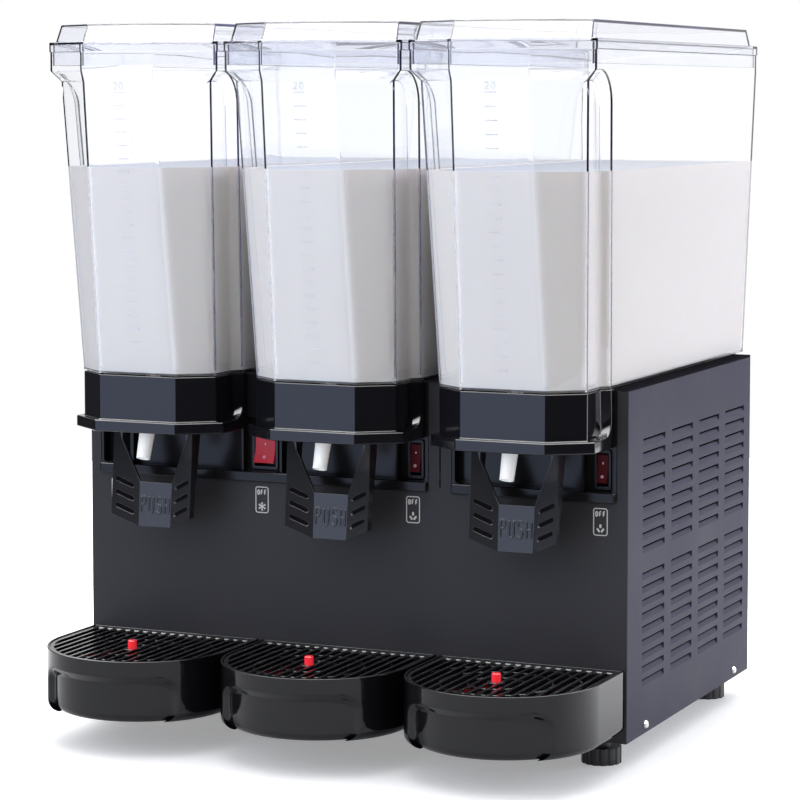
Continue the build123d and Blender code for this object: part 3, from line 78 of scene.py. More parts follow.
slotOf = {row["node"]: row["material_slot"] for row in frame["record"]["subparts"]}
mm = 0.001
moduleNames = ("left", "middle", "right")


# Layout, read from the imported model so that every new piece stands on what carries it
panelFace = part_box("front_panel")[0].y
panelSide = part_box("side_panel_left")[0].x
trayLow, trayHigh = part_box("drip_tray_middle")
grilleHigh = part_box("drip_grille_middle")[1]
moduleX = {name: sum(corner.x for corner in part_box("tank_" + name)) / 2 for name in moduleNames}
joints = frame["record"]["behaviour"]["joints"]
switchPlaces = {joint["child"]: joint["pos_m"] for joint in joints if "rocker" in joint["child"]}
print("layout read, front panel at y =", round(panelFace, 4))


# Shader helpers
noiseRange = (0.3, 0.7)  # where nearly all values of a noise field lie


def addNode(tree, kind, inputs=None, **settings):
    # each input is a plain value or another node's socket
    node = tree.nodes.new(kind)
    for key, value in settings.items():
        setattr(node, key, value)
    for key, value in (inputs or {}).items():
        if isinstance(value, bpy.types.NodeSocket):
            tree.links.new(value, node.inputs[key])
        else:
            node.inputs[key].default_value = value
    return node


def reckon(tree, operation, *values, **settings):
    node = addNode(tree, "ShaderNodeMath", dict(enumerate(values)), operation=operation, **settings)
    return node.outputs["Value"]


def reckonVector(tree, operation, *values):
    node = addNode(tree, "ShaderNodeVectorMath", dict(enumerate(values)), operation=operation)
    return node.outputs["Value" if operation in ("LENGTH", "DOT_PRODUCT") else "Vector"]


def mapped(tree, value, source, target=(0.0, 1.0)):
    # lays the range source onto the range target and holds the value at both ends
    ends = {"From Min": source[0], "From Max": source[1], "To Min": target[0], "To Max": target[1]}
    return addNode(tree, "ShaderNodeMapRange", {"Value": value, **ends}).outputs["Result"]


def axesOf(tree, place):
    return addNode(tree, "ShaderNodeSeparateXYZ", {"Vector": place}).outputs


def noiseField(tree, place, scale, detail, stretch=(1, 1, 1)):
    # smooth 3-D noise on Object coordinates, scale in waves per metre
    turn = addNode(tree, "ShaderNodeMapping", {"Vector": place, "Scale": stretch})
    waves = {"Vector": turn.outputs["Vector"], "Scale": scale, "Detail": detail}
    return addNode(tree, "ShaderNodeTexNoise", waves).outputs["Fac"]


def startFinish(name):
    finish = bpy.data.materials.new(name)
    finish.use_nodes = True
    tree = finish.node_tree
    place = addNode(tree, "ShaderNodeTexCoord").outputs["Object"]
    return finish, tree, tree.nodes["Principled BSDF"], place


def setSockets(shader, values):
    for key, value in values.items():
        shader.inputs[key].default_value = value


def colourTo(tree, field, low, high, socket):
    ramp = addNode(tree, "ShaderNodeValToRGB", {"Fac": field})
    for stop, position, colour in zip(ramp.color_ramp.elements, noiseRange, (low, high)):
        stop.position = position
        stop.color = (*colour, 1)
    tree.links.new(ramp.outputs["Color"], socket)


def roughTo(tree, field, rough, share, shader):
    # roughness that follows the noise, up to a share of itself to both sides
    spread = mapped(tree, field, noiseRange, (rough * (1 - share), rough * (1 + share)))
    tree.links.new(spread, shader.inputs["Roughness"])


def bumpTo(tree, field, strength, distance, shader):
    bump = addNode(tree, "ShaderNodeBump", {"Height": field, "Strength": strength, "Distance": distance})
    tree.links.new(bump.outputs["Normal"], shader.inputs["Normal"])


def louvrePaintedShadingTo(tree, place, look, shader):
    # by the depth behind the outer face |x| = plane: a painted lighter colour on a louvre's slope,
    # and a painted black shade with its gloss taken away in its slot
    colour, gloss = shader.inputs["Base Color"], shader.inputs["Specular IOR Level"]
    depth = reckon(tree, "SUBTRACT", look["plane"], reckon(tree, "ABSOLUTE", axesOf(tree, place)["X"]))
    slope = mapped(tree, depth, look["slope"])
    light = mapped(tree, depth, look["slot"], (1.0, 0.0))
    # sockets 6 and 7 are the two colours of a Mix node, and output 2 is the mixed one
    colours = {"Factor": slope, 6: colour.links[0].from_socket, 7: (*look["colour"], 1)}
    mixed = addNode(tree, "ShaderNodeMix", colours, data_type="RGBA")
    scaled = addNode(tree, "ShaderNodeVectorMath", {0: mixed.outputs[2], "Scale": light}, operation="SCALE")
    tree.links.new(scaled.outputs["Vector"], colour)
    tree.links.new(reckon(tree, "MULTIPLY", light, gloss.default_value), gloss)


# Finishes: a solid coat with mottled colour and gloss and a fine surface grain
usualCoat = {"cloud": 14, "cloudDetail": 4.0, "grain": 1400, "grainDetail": 2.0, "stretch": (1, 1, 1),
             "mottle": 0.05, "roughShare": 0.1, "bump": 0.06, "grainDepth": 0.3 * mm, "metal": 0.0,
             "specular": 0.5, "coat": 0.0, "soft": 0.0, "softDepth": 4 * mm}


def shade(colour, factor):
    return tuple(part * factor for part in colour)


def solidFinish(name, changes):
    look = {**usualCoat, **changes}
    finish, tree, shader, place = startFinish(name)
    cloud = noiseField(tree, place, look["cloud"], look["cloudDetail"], look["stretch"])
    grain = noiseField(tree, place, look["grain"], look["grainDetail"], look["stretch"])
    dark, pale = (shade(look["colour"], 1 + side * look["mottle"]) for side in (-1, 1))
    colourTo(tree, cloud, dark, pale, shader.inputs["Base Color"])
    roughTo(tree, cloud, look["rough"], look["roughShare"], shader)
    bumpTo(tree, grain, look["bump"], look["grainDepth"], shader)
    setSockets(shader, {"Metallic": look["metal"], "Specular IOR Level": look["specular"],
                        "Coat Weight": look["coat"], "Subsurface Weight": look["soft"],
                        "Subsurface Scale": look["softDepth"]})
    # painted light and shade in the louvres, where the look asks for it
    if "paintedLouvreShading" in look:
        louvrePaintedShadingTo(tree, place, look["paintedLouvreShading"], shader)
    # emission in the finish's own colour: a lamp in the cooling rocker, painted light on the tubes and floats
    if "glow" in look:
        setSockets(shader, {"Emission Color": (*look["colour"], 1), "Emission Strength": look["glow"]})
    return finish


# painted light and shade in the louvres: the slope's colour is a painted lighter tone, the slot a painted
# black shade
louvreShadingLook = {"plane": -panelSide, "slope": (0.3 * mm, 0.9 * mm), "slot": (2.4 * mm, 2.7 * mm),
              "colour": (0.050, 0.048, 0.074)}
finishLooks = {
    "front_paint": {"colour": (0.0215, 0.0207, 0.0240), "rough": 0.50, "specular": 0.28, "grain": 900,
                    "bump": 0.05},
    "side_paint": {"colour": (0.040, 0.039, 0.060), "rough": 0.48, "specular": 0.06, "grain": 900,
                   "bump": 0.05, "paintedLouvreShading": louvreShadingLook},
    "deck_steel": {"colour": (0.020, 0.019, 0.023), "rough": 0.50, "specular": 0.0, "grain": 900,
                   "bump": 0.05},
    "pan_metal": {"colour": (0.42, 0.43, 0.44), "rough": 0.45, "metal": 1.0, "cloud": 60, "mottle": 0.14},
    "screw_steel": {"colour": (0.60, 0.60, 0.60), "rough": 0.28, "metal": 1.0, "cloud": 200},
    "bezel_plastic": {"colour": (0.009, 0.0085, 0.0095), "rough": 0.20, "specular": 0.28, "grain": 1800,
                      "bump": 0.02},
    "switch_plastic": {"colour": (0.008, 0.008, 0.010), "rough": 0.32, "grain": 1800},
    "cooling_red": {"colour": (0.44, 0.010, 0.020), "rough": 0.20, "specular": 0.35, "glow": 0.10,
                    "mottle": 0.10},
    "mixer_red": {"colour": (0.080, 0.003, 0.006), "rough": 0.30, "specular": 0.12, "mottle": 0.10},
    "nose_plastic": {"colour": (0.006, 0.006, 0.008), "rough": 0.10, "grain": 500, "bump": 0.015},
    "lever_plastic": {"colour": (0.016, 0.016, 0.019), "rough": 0.24, "specular": 0.6, "grain": 650,
                      "bump": 0.13},
    # painted light: the silicone tubes glow a little in their own colour
    "tube_silicone": {"colour": (0.92, 0.92, 0.91), "rough": 0.35, "soft": 0.25, "glow": 0.14,
                      "mottle": 0.02},
    "evaporator_steel": {"colour": (0.66, 0.66, 0.66), "rough": 0.25, "metal": 1.0, "stretch": (1, 1, 40)},
    "gasket_rubber": {"colour": (0.52, 0.42, 0.30), "rough": 0.60, "grain": 900},
    "motor_metal": {"colour": (0.10, 0.105, 0.115), "rough": 0.35, "metal": 0.8},
    "compressor_paint": {"colour": (0.010, 0.010, 0.011), "rough": 0.22, "coat": 0.3},
    "grommet_rubber": {"colour": (0.012, 0.012, 0.012), "rough": 0.70},
    "condenser_aluminium": {"colour": (0.72, 0.73, 0.74), "rough": 0.35, "metal": 1.0, "stretch": (1, 30, 1)},
    "line_copper": {"colour": (0.72, 0.33, 0.16), "rough": 0.28, "metal": 1.0, "mottle": 0.12},
    "box_plastic": {"colour": (0.014, 0.014, 0.016), "rough": 0.42, "grain": 1500, "bump": 0.08},
    "tray_plastic": {"colour": (0.004, 0.004, 0.005), "rough": 0.08, "specular": 0.29, "grain": 500,
                     "bump": 0.015},
    "grille_plastic": {"colour": (0.008, 0.008, 0.009), "rough": 0.20, "grain": 900, "bump": 0.03},
    # painted light: the floats glow in their own red
    "float_red": {"colour": (0.82, 0.022, 0.036), "rough": 0.16, "coat": 0.3, "soft": 0.1, "glow": 0.50},
    "magnet_iron": {"colour": (0.16, 0.16, 0.17), "rough": 0.40, "metal": 1.0, "cloud": 80},
    "impeller_plastic": {"colour": (0.84, 0.84, 0.82), "rough": 0.25, "mottle": 0.02},
    "fan_plastic": {"colour": (0.016, 0.016, 0.018), "rough": 0.45, "grain": 1500},
    "foot_plastic": {"colour": (0.010, 0.010, 0.012), "rough": 0.38, "grain": 1500, "bump": 0.06},
}
finishes = {slot: solidFinish(slot, look) for slot, look in finishLooks.items()}


# Clear moulded plastic: a refracting body, slightly blue where the light runs far inside it. Shadow rays pass
# straight through, so what stands inside is lit. The rounded edges take a painted shade in their colour: a
# deep blue over air and darker below the level of the drink, with a faint painted glow.
drinkLevel = 0.557
levelBlend = (drinkLevel - 12 * mm, drinkLevel + 4 * mm)
clearLook = {"index": 1.49, "rough": 0.012, "roughShare": 0.4, "tint": (0.985, 0.99, 1.0),
             "absorb": (0.45, 0.52, 0.80), "density": 6.0, "waveScale": 26, "waveDetail": 1.0,
             "waveBump": 0.02, "waveDepth": 0.6 * mm}
lidLook = {**clearLook, "absorb": (0.41, 0.43, 0.70), "density": 24.0}
# painted dark shade and a painted glow on the rounded clear edges, below and above the drink's level
paintedEdgeShades = {
    "tank_edge_painted_shade": {**clearLook, "below": (0.08, 0.06, 0.09), "above": (0.20, 0.20, 0.36),
                  "glow": (0.055, 0.054, 0.125)},
    "lid_edge_painted_shade": {**lidLook, "below": (0.06, 0.06, 0.18), "above": (0.06, 0.06, 0.18),
                 "glow": (0.040, 0.040, 0.120)},
}


def clearFinish(name, look):
    finish, tree, shader, place = startFinish(name)
    setSockets(shader, {"Base Color": (*look["tint"], 1), "Transmission Weight": 1.0, "IOR": look["index"]})
    if "glow" in look:
        # painted shade: the edge colour runs from dark below the drink's level to blue above it, with a faint
        # painted glow
        rise = mapped(tree, axesOf(tree, place)["Z"], levelBlend, noiseRange)
        colourTo(tree, rise, look["below"], look["above"], shader.inputs["Base Color"])
        setSockets(shader, {"Emission Color": (*look["glow"], 1), "Emission Strength": 1.0})
    ripple = noiseField(tree, place, look["waveScale"], look["waveDetail"])
    roughTo(tree, ripple, look["rough"], look["roughShare"], shader)
    bumpTo(tree, ripple, look["waveBump"], look["waveDepth"], shader)
    shadow = addNode(tree, "ShaderNodeLightPath").outputs["Is Shadow Ray"]
    through = addNode(tree, "ShaderNodeBsdfTransparent").outputs["BSDF"]
    skin = addNode(tree, "ShaderNodeMixShader", {"Fac": shadow, 1: shader.outputs["BSDF"], 2: through})
    inside = {"Color": (*look["absorb"], 1), "Density": look["density"]}
    body = addNode(tree, "ShaderNodeVolumeAbsorption", inside)
    out = tree.nodes["Material Output"]
    tree.links.new(skin.outputs["Shader"], out.inputs["Surface"])
    tree.links.new(body.outputs["Volume"], out.inputs["Volume"])
    return finish


finishes["tank_clear"] = clearFinish("tank_clear", clearLook)
finishes["lid_clear"] = clearFinish("lid_clear", lidLook)
edgeFinishes = {name: clearFinish(name, look) for name, look in paintedEdgeShades.items()}
drinkFinish = solidFinish("milk_drink", {"colour": (0.955, 0.905, 0.835), "rough": 0.30, "specular": 0.0,
                                         "soft": 0.15, "softDepth": 10 * mm, "mottle": 0.012, "cloud": 6,
                                         "grain": 120, "bump": 0.01})
# painted shade: the drink's top faces are a darker grey-blue than the drink
drinkTopPaintedShade = solidFinish("milk_top_painted_shade", {"colour": (0.64, 0.655, 0.69), "rough": 0.30, "specular": 0.0,
                                          "mottle": 0.012})
inkFinish = solidFinish("white_ink", {"colour": (0.56, 0.545, 0.52), "rough": 0.5, "grain": 2500})
markFinish = clearFinish("scale_frost", {**clearLook, "rough": 0.28, "tint": (0.935, 0.940, 0.968)})
rockerInk = solidFinish("rocker_ink", {"colour": (0.62, 0.50, 0.60), "rough": 0.4, "grain": 2500})
# painted shade: a dull black for the floors of the lever grooves
grooveShadeFinish = solidFinish("lever_groove_painted_shade", {"colour": (0.002, 0.002, 0.003), "rough": 0.6, "specular": 0.05})
for nodeName, node in nodes.items():
    for place in node.material_slots:
        place.material = finishes[slotOf[nodeName]]
print("finishes made:", len(finishes))


# Mesh helpers
joinDistance = 0.01 * mm  # between the corners of a node's loose triangles
mergeDistance = 0.001 * mm  # at the poles and seams of a new surface


def addPiece(name, mesh, finish, body):
    piece = bpy.data.objects.new(name, mesh)
    bpy.context.scene.collection.objects.link(piece)
    mesh.materials.clear()
    mesh.materials.append(finish)
    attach(piece, body)
    return piece


def joinedMesh(nodeName):
    # the node's triangles joined at their corners, without the stored normals
    mesh = nodes[nodeName].data.copy()
    stored = mesh.attributes.get("custom_normal")
    if stored:
        mesh.attributes.remove(stored)
    work = bmesh.new()
    work.from_mesh(mesh)
    bmesh.ops.remove_doubles(work, verts=work.verts, dist=joinDistance)
    return mesh, work


def foldedEdges(work, angle):
    return [edge for edge in work.edges if edge.is_manifold and edge.calc_face_angle() > math.radians(angle)]


def smoothFaces(mesh):
    mesh.polygons.foreach_set("use_smooth", np.ones(len(mesh.polygons), dtype=bool))


def smoothPiece(nodeName, mesh, work):
    work.to_mesh(mesh)
    work.free()
    smoothFaces(mesh)
    slotName = slotOf[nodeName]
    piece = addPiece(nodeName + "_finished", mesh, finishes[slotName], nodes[nodeName]["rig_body"])
    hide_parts(nodeName)
    return piece


def flattenShading(piece):
    even = piece.modifiers.new("flatFaces", "WEIGHTED_NORMAL")
    even.mode = "FACE_AREA"
    even.weight = 100
    even.keep_sharp = True


def faceRows(mesh, key):
    rows = np.empty((len(mesh.polygons), 3))
    mesh.polygons.foreach_get(key, rows.ravel())
    return rows


usualRound = {"angle": 25, "crease": 180, "steps": 2}


def roundedCopy(nodeName, changes):
    # the node's own form with its folds rounded by a bevel, wider on the outer folds inside the box of "wide"
    look = {**usualRound, **changes}
    wide = look.get("wide", {"round": look["round"], "low": (0, 0, 0), "high": (0, 0, 0)})
    mesh, work = joinedMesh(nodeName)
    weight = work.edges.layers.float.new("bevel_weight_edge")
    for edge in foldedEdges(work, look["angle"]):
        middle = (edge.verts[0].co + edge.verts[1].co) / 2
        inside = all(low < part < high for low, part, high in zip(wide["low"], middle, wide["high"]))
        edge[weight] = 1.0 if inside and edge.calc_face_angle_signed() > 0 else look["round"] / wide["round"]
    piece = smoothPiece(nodeName, mesh, work)
    mesh.set_sharp_from_angle(angle=math.radians(look["crease"]))
    rim = piece.modifiers.new("edgeRound", "BEVEL")
    rim.width = wide["round"]
    rim.segments = look["steps"]
    rim.limit_method = "WEIGHT"
    rim.loop_slide = False
    rim.use_clamp_overlap = False
    flattenShading(piece)


def nearestEdge(points, starts, ends):
    # which straight edge lies nearest to each point: |p - a - t (b - a)| with t held between 0 and 1
    run = ends - starts
    t = np.clip(((points[:, None] - starts) * run).sum(axis=-1) / (run ** 2).sum(axis=-1), 0, 1)
    return np.linalg.norm(points[:, None] - starts - t[..., None] * run, axis=-1).argmin(axis=1)


def clearCopy(nodeName, look):
    # the node's own form with rounded edges: strong outer folds that stand up, or lie above topZ, take the
    # edge finish with its painted shade and glow
    mesh, work = joinedMesh(nodeName)
    folded = foldedEdges(work, look["angle"])
    fold = np.degrees([edge.calc_face_angle_signed() for edge in folded])
    ends = np.array([[vert.co for vert in edge.verts] for edge in folded])
    run = ends[:, 1] - ends[:, 0]
    steep = np.abs(run[:, 2]) > look["steep"] * np.linalg.norm(run, axis=1)
    strong = (fold > look["strong"]) & (steep | (ends[:, :, 2].min(axis=1) > look["topZ"]))
    made = bmesh.ops.bevel(work, geom=folded, offset=look["round"], offset_type="OFFSET", segments=2,
                           profile=0.5, affect="EDGES", clamp_overlap=False, loop_slide=False,
                           material=0)["faces"]
    centres = np.array([face.calc_center_median() for face in made])
    for face, near in zip(made, nearestEdge(centres, ends[:, 0], ends[:, 1])):
        face.material_index = int(strong[near])
    kinds = np.array([face.material_index for face in work.faces], dtype=np.int32)
    piece = smoothPiece(nodeName, mesh, work)
    mesh.materials.append(edgeFinishes[look["edge"]])
    mesh.polygons.foreach_set("material_index", kinds)
    flattenShading(piece)


def gridMesh(name, *grids):
    # each grid is points[row, column]: rows joined along, columns joined round, poles and seams then merged
    quads = []
    first = 0
    for points in grids:
        rows, columns = points.shape[:2]
        index = first + np.arange(rows * columns).reshape(rows, columns)
        right = np.roll(index, -1, axis=1)
        quads.append(np.stack([index[:-1], right[:-1], right[1:], index[1:]], axis=-1).reshape(-1, 4))
        first += rows * columns
    mesh = bpy.data.meshes.new(name)
    mesh.from_pydata(np.vstack([points.reshape(-1, 3) for points in grids]), [], np.vstack(quads))
    work = bmesh.new()
    work.from_mesh(mesh)
    bmesh.ops.remove_doubles(work, verts=work.verts, dist=mergeDistance)
    bmesh.ops.recalc_face_normals(work, faces=work.faces)
    work.to_mesh(mesh)
    work.free()
    smoothFaces(mesh)
    return mesh


# Rounded edges on everything that shows; angles in degrees, single rounds in mm
grilleLip = {"round": 2.2 * mm, "low": (-1, grilleHigh.y - 5.5 * mm, grilleHigh.z - mm),
             "high": (1, grilleHigh.y - 2.5 * mm, 1)}
bezelLip = {"round": 1.4 * mm, "low": (-1, -1, 0), "high": (1, panelFace - 2 * mm, 1)}
edgeLooks = {
    "tap_nose": {"round": 1.2 * mm, "angle": 15, "steps": 3},
    "push_lever": {"round": 0.5 * mm, "angle": 35, "crease": 12},
    "drip_tray": {"round": 0.8 * mm, "angle": 28, "steps": 3},
    "drip_grille": {"round": 0.5 * mm, "wide": grilleLip},
    "float": {"round": 0.4 * mm},
}
clearLooks = {
    "tank": {"round": 0.55 * mm, "angle": 20, "strong": 45, "steep": 0.3, "topZ": 1.0, "edge": "tank_edge_painted_shade"},
    "lid": {"round": 0.6 * mm, "angle": 14, "strong": 50, "steep": 0.3, "topZ": cadHigh.z - 4 * mm,
            "edge": "lid_edge_painted_shade"},
}
bezelLook = {"round": 0.3 * mm, "steps": 3, "wide": bezelLip}
singleRounds = {
    "switch_bodies": 0.4, "outlet_tubes": 0.4, "cooling_rocker": 0.6, "mixer_rocker_left": 0.5,
    "mixer_rocker_middle": 0.5, "mixer_rocker_right": 0.5, "foot_front_left": 0.4, "foot_front_right": 0.4,
    "foot_rear_left": 0.4, "foot_rear_right": 0.4, "cabinet_screws": 0.3, "mains_inlet": 0.4,
    "front_panel": 0.4, "side_panel_left": 0.3, "side_panel_right": 0.3, "rear_panel": 0.3, "top_deck": 0.4,
}
for name in moduleNames:
    for base, look in edgeLooks.items():
        roundedCopy(base + "_" + name, look)
    for base, look in clearLooks.items():
        clearCopy(base + "_" + name, look)
for nodeName in ("bezel_double", "bezel_single"):
    roundedCopy(nodeName, bezelLook)
for nodeName, radius in singleRounds.items():
    roundedCopy(nodeName, {"round": radius * mm})
print("edges rounded")


# The drink: a surface of rings from the well round the cold drum, along the floor and up the walls to the
# level. Each ring is the tank's inner plan at its height: a flat front, two chamfers, a sloped step at each
# side and a straight rear, with every corner rounded. The lip is how far in from the wall each ring of the
# meniscus lies and its share of the meniscus height.
drinkLook = {"level": drinkLevel, "floor": 0.3604, "wellTop": 0.5080, "wellRadius": 0.0575, "drumY": 0.063,
             "sink": 0.2 * mm, "wall": 3.0 * mm, "round": 3.0 * mm, "meniscus": 1.6 * mm, "columns": 240,
             "rows": 12, "lip": ((1.0 * mm, 0.45), (2.6 * mm, 0.10), (5.0 * mm, 0.0)), "fold": 50,
             "facingUp": 0.9}
tankPlan = {"frontY": -0.122, "lowZ": 0.358, "slopeZ": 0.640, "rimZ": 0.650, "chamfer": 38.0,
            "halfFlat": (0.0423, 0.0380), "front": (-0.0746, -0.1082), "insetSide": (0.0732, 0.0820),
            "flushSide": (0.0813, 0.0912), "step": (-0.009, -0.038), "rear": (0.3975, 0.4032)}


def planCorners(z, wall):
    # corner points of the tank's plan at height z, moved in by the wall; lengths change linearly with height
    def along(key, topKey):
        low, high = tankPlan[key]
        return low + (high - low) * (z - tankPlan["lowZ"]) / (tankPlan[topKey] - tankPlan["lowZ"])
    turn = math.radians(tankPlan["chamfer"])
    flat = along("halfFlat", "slopeZ") - wall * math.tan(turn / 2)
    front = along("front", "slopeZ") + wall
    inset = along("insetSide", "slopeZ") - wall
    flush = along("flushSide", "rimZ") - wall
    chamferY = front + (inset - flat) * math.tan(turn)
    stepY = along("step", "rimZ") + wall * (math.sqrt(2) - 1)
    rear = along("rear", "rimZ") - wall
    right = [(flat, front), (inset, chamferY), (inset, stepY - flush + inset), (flush, stepY), (flush, rear)]
    left = [(-x, y) for x, y in reversed(right)]
    return np.array(right + left)


def roundedRing(corners, radius, columns, arcPoints=7):
    # each corner becomes an arc: for t in 0..1 the quadratic blend of its two tangent points and the corner
    ahead = np.roll(corners, -1, axis=0) - corners
    behind = np.roll(corners, 1, axis=0) - corners
    start = corners + behind / np.linalg.norm(behind, axis=1, keepdims=True) * radius
    end = corners + ahead / np.linalg.norm(ahead, axis=1, keepdims=True) * radius
    t = np.linspace(0, 1, arcPoints)[None, :, None]
    arcs = (1 - t) ** 2 * start[:, None] + 2 * t * (1 - t) * corners[:, None] + t ** 2 * end[:, None]
    outline = arcs.reshape(-1, 2)
    closed = np.vstack([outline, outline[:1]])
    length = np.concatenate([[0], np.cumsum(np.linalg.norm(np.diff(closed, axis=0), axis=1))])
    even = np.linspace(0, length[-1], columns, endpoint=False)
    return np.stack([np.interp(even, length, closed[:, 0]), np.interp(even, length, closed[:, 1])], axis=1)


def drinkRing(look, planZ, wall, z):
    # the tank's rounded inner plan at height planZ, laid at height z
    plan = roundedRing(planCorners(planZ, wall), look["round"], look["columns"])
    return np.column_stack([plan, np.full(len(plan), z)])


def makeDrink(name, look):
    level, radius, rise = look["level"], look["wellRadius"], look["meniscus"]
    wall = look["wall"] - look["sink"]
    heights = np.linspace(look["floor"] - look["sink"], level + rise, look["rows"])
    sides = [drinkRing(look, z, wall, z) for z in heights]
    lips = [drinkRing(look, level, wall + inset, level + share * rise) for inset, share in look["lip"]]
    drumY = look["drumY"] - tankPlan["frontY"]
    angle = np.arctan2(sides[0][:, 1] - drumY, sides[0][:, 0])
    well = np.column_stack([radius * np.cos(angle), drumY + radius * np.sin(angle), np.zeros_like(angle)])
    pole = np.tile([0, drumY, 0], (look["columns"], 1))
    up = np.array([0, 0, 1])
    drum = [pole + up * look["wellTop"], well + up * look["wellTop"], well + up * heights[0]]
    points = np.stack([*drum, *sides, *lips, pole + up * level])
    mesh = gridMesh("drink_" + name, points + np.array([moduleX[name], tankPlan["frontY"], 0]))
    mesh.set_sharp_from_angle(angle=math.radians(look["fold"]))
    addPiece("drink_" + name, mesh, drinkFinish, "tank_" + name)
    # faces that look up take the painted grey-blue shade
    mesh.materials.append(drinkTopPaintedShade)
    top = faceRows(mesh, "normal")[:, 2] > look["facingUp"]
    mesh.polygons.foreach_set("material_index", top.astype(np.int32))


for name in moduleNames:
    makeDrink(name, drinkLook)
print("drinks poured")


# Soft slopes at both ends of each tray's sunk front. A section that runs from the tray's round skin down to
# the sunk panel is carried along the panel's outline: up one end, round its corner and a little way along the
# top. Seen from the front a point at (x, z) lies at y = c - sqrt(r^2 - x^2), where r is the skin's radius at
# that height less the section's depth.
slopeLook = {"radius": 93 * mm, "step": 6 * mm, "halfWidth": 72 * mm, "band": 15 * mm, "corner": 16 * mm,
             "bottomRound": 8 * mm, "foot": 0.4 * mm, "lap": 1.0 * mm, "width": 10.0 * mm,
             "topWidth": 7.0 * mm, "along": 24 * mm, "proud": 0.04 * mm, "sink": 0.2 * mm, "riseRows": 40,
             "turnRows": 13, "runRows": 5, "columns": 9, "fold": 30}


def slopeOutline(look):
    # the panel's outline at one end: x, z, the direction into the panel and how far the slope has faded out
    low = trayLow.z + look["foot"]
    top = trayHigh.z - look["band"]
    side, corner = look["halfWidth"], look["corner"]
    rises, runs = look["riseRows"], look["runRows"]
    rise = low + (top - corner - low) * np.linspace(0, 1, rises) ** 2
    turn = np.linspace(0, np.pi / 2, look["turnRows"] + 1)[1:]
    run = np.linspace(0, look["along"], runs + 1)[1:]
    x = np.concatenate([np.full(rises, side), side - corner + corner * np.cos(turn), side - corner - run])
    z = np.concatenate([rise, top - corner + corner * np.sin(turn), np.full(runs, top)])
    angle = np.concatenate([np.zeros(rises), turn, np.full(runs, np.pi / 2)])
    fade = np.concatenate([np.zeros(rises + len(turn)), run / look["along"]])
    return x[:, None], z[:, None], -np.column_stack([np.cos(angle), np.sin(angle)]), fade[:, None]


def slopeGrid(look, side):
    # across runs into the panel from the lap on the skin; the last two columns close the section behind it
    x, z, inward, fade = slopeOutline(look)
    t = np.linspace(0, 1, look["columns"])
    soft = t * t * (3 - 2 * t)
    wide = look["width"] + fade * (look["topWidth"] - look["width"])
    across = np.column_stack([t * (wide + look["lap"]) - look["lap"], wide, np.full_like(wide, -look["lap"])])
    fall = (1 - fade) * soft + fade * t
    front = fall * (look["step"] + 2 * look["proud"]) - look["proud"] + fade * look["sink"]
    rear = np.full_like(wide, look["step"] + look["sink"])
    depth = np.column_stack([front, rear, rear])
    pointX = x + inward[:, :1] * across
    pointZ = np.maximum(z + inward[:, 1:] * across, trayLow.z + look["foot"])
    under = np.clip(look["bottomRound"] - (pointZ - trayLow.z), 0, None)
    drop = look["bottomRound"] - np.sqrt(look["bottomRound"] ** 2 - under ** 2)
    pointY = trayLow.y + look["radius"] - np.sqrt((look["radius"] - drop - depth) ** 2 - pointX ** 2)
    points = np.dstack([side * pointX, pointY, pointZ])
    poles = np.repeat(points[[0, -1]].mean(axis=1, keepdims=True), points.shape[1], axis=1)
    return np.concatenate([poles[:1], points, poles[1:]])


for name in moduleNames:
    grids = [slopeGrid(slopeLook, side) + np.array([moduleX[name], 0, 0]) for side in (-1, 1)]
    mesh = gridMesh("tray_slopes_" + name, *grids)
    mesh.set_sharp_from_angle(angle=math.radians(slopeLook["fold"]))
    addPiece("tray_slopes_" + name, mesh, finishes["tray_plastic"], "drip_tray_" + name)
print("tray slopes made")


# Lettering and marks: strokes carried along paths drawn in a box one wide and one high
strokeLook = {"columns": 14, "sidePower": 0.7, "topPower": 0.35}


def arc(x, y, across, up, start, stop, points=18):
    # part of an ellipse about (x, y): (x + across cos a, y + up sin a), a in degrees
    a = np.radians(np.linspace(start, stop, points))
    return np.column_stack([x + across * np.cos(a), y + up * np.sin(a)])


def path(*parts):
    return np.vstack([np.atleast_2d(part) for part in parts])


letterPaths = {
    "P": [path((0, 0), (0, 1)), path((0, 1), arc(0.5, 0.76, 0.5, 0.24, 90, -90), (0, 0.52))],
    "U": [path((0, 1), arc(0.5, 0.22, 0.5, 0.22, 180, 360), (1, 1))],
    "S": [path(arc(0.5, 0.76, 0.5, 0.24, 20, 270), arc(0.5, 0.26, 0.5, 0.26, 90, -160))],
    "H": [path((0, 0), (0, 1)), path((1, 0), (1, 1)), path((0, 0.5), (1, 0.5))],
    "O": [arc(0.5, 0.5, 0.5, 0.5, 90, 470)],
    "F": [path((0, 0), (0, 1)), path((0, 1), (0.9, 1)), path((0, 0.52), (0.75, 0.52))],
    "2": [path(arc(0.5, 0.72, 0.5, 0.28, 165, -35), (0, 0)), path((0, 0), (1, 0))],
    "0": [arc(0.5, 0.5, 0.5, 0.5, 90, 470)],
    "I": [path((0.5, 0), (0.5, 1))],
}


def squared(wave, power):
    return np.sign(wave) * np.abs(wave) ** power


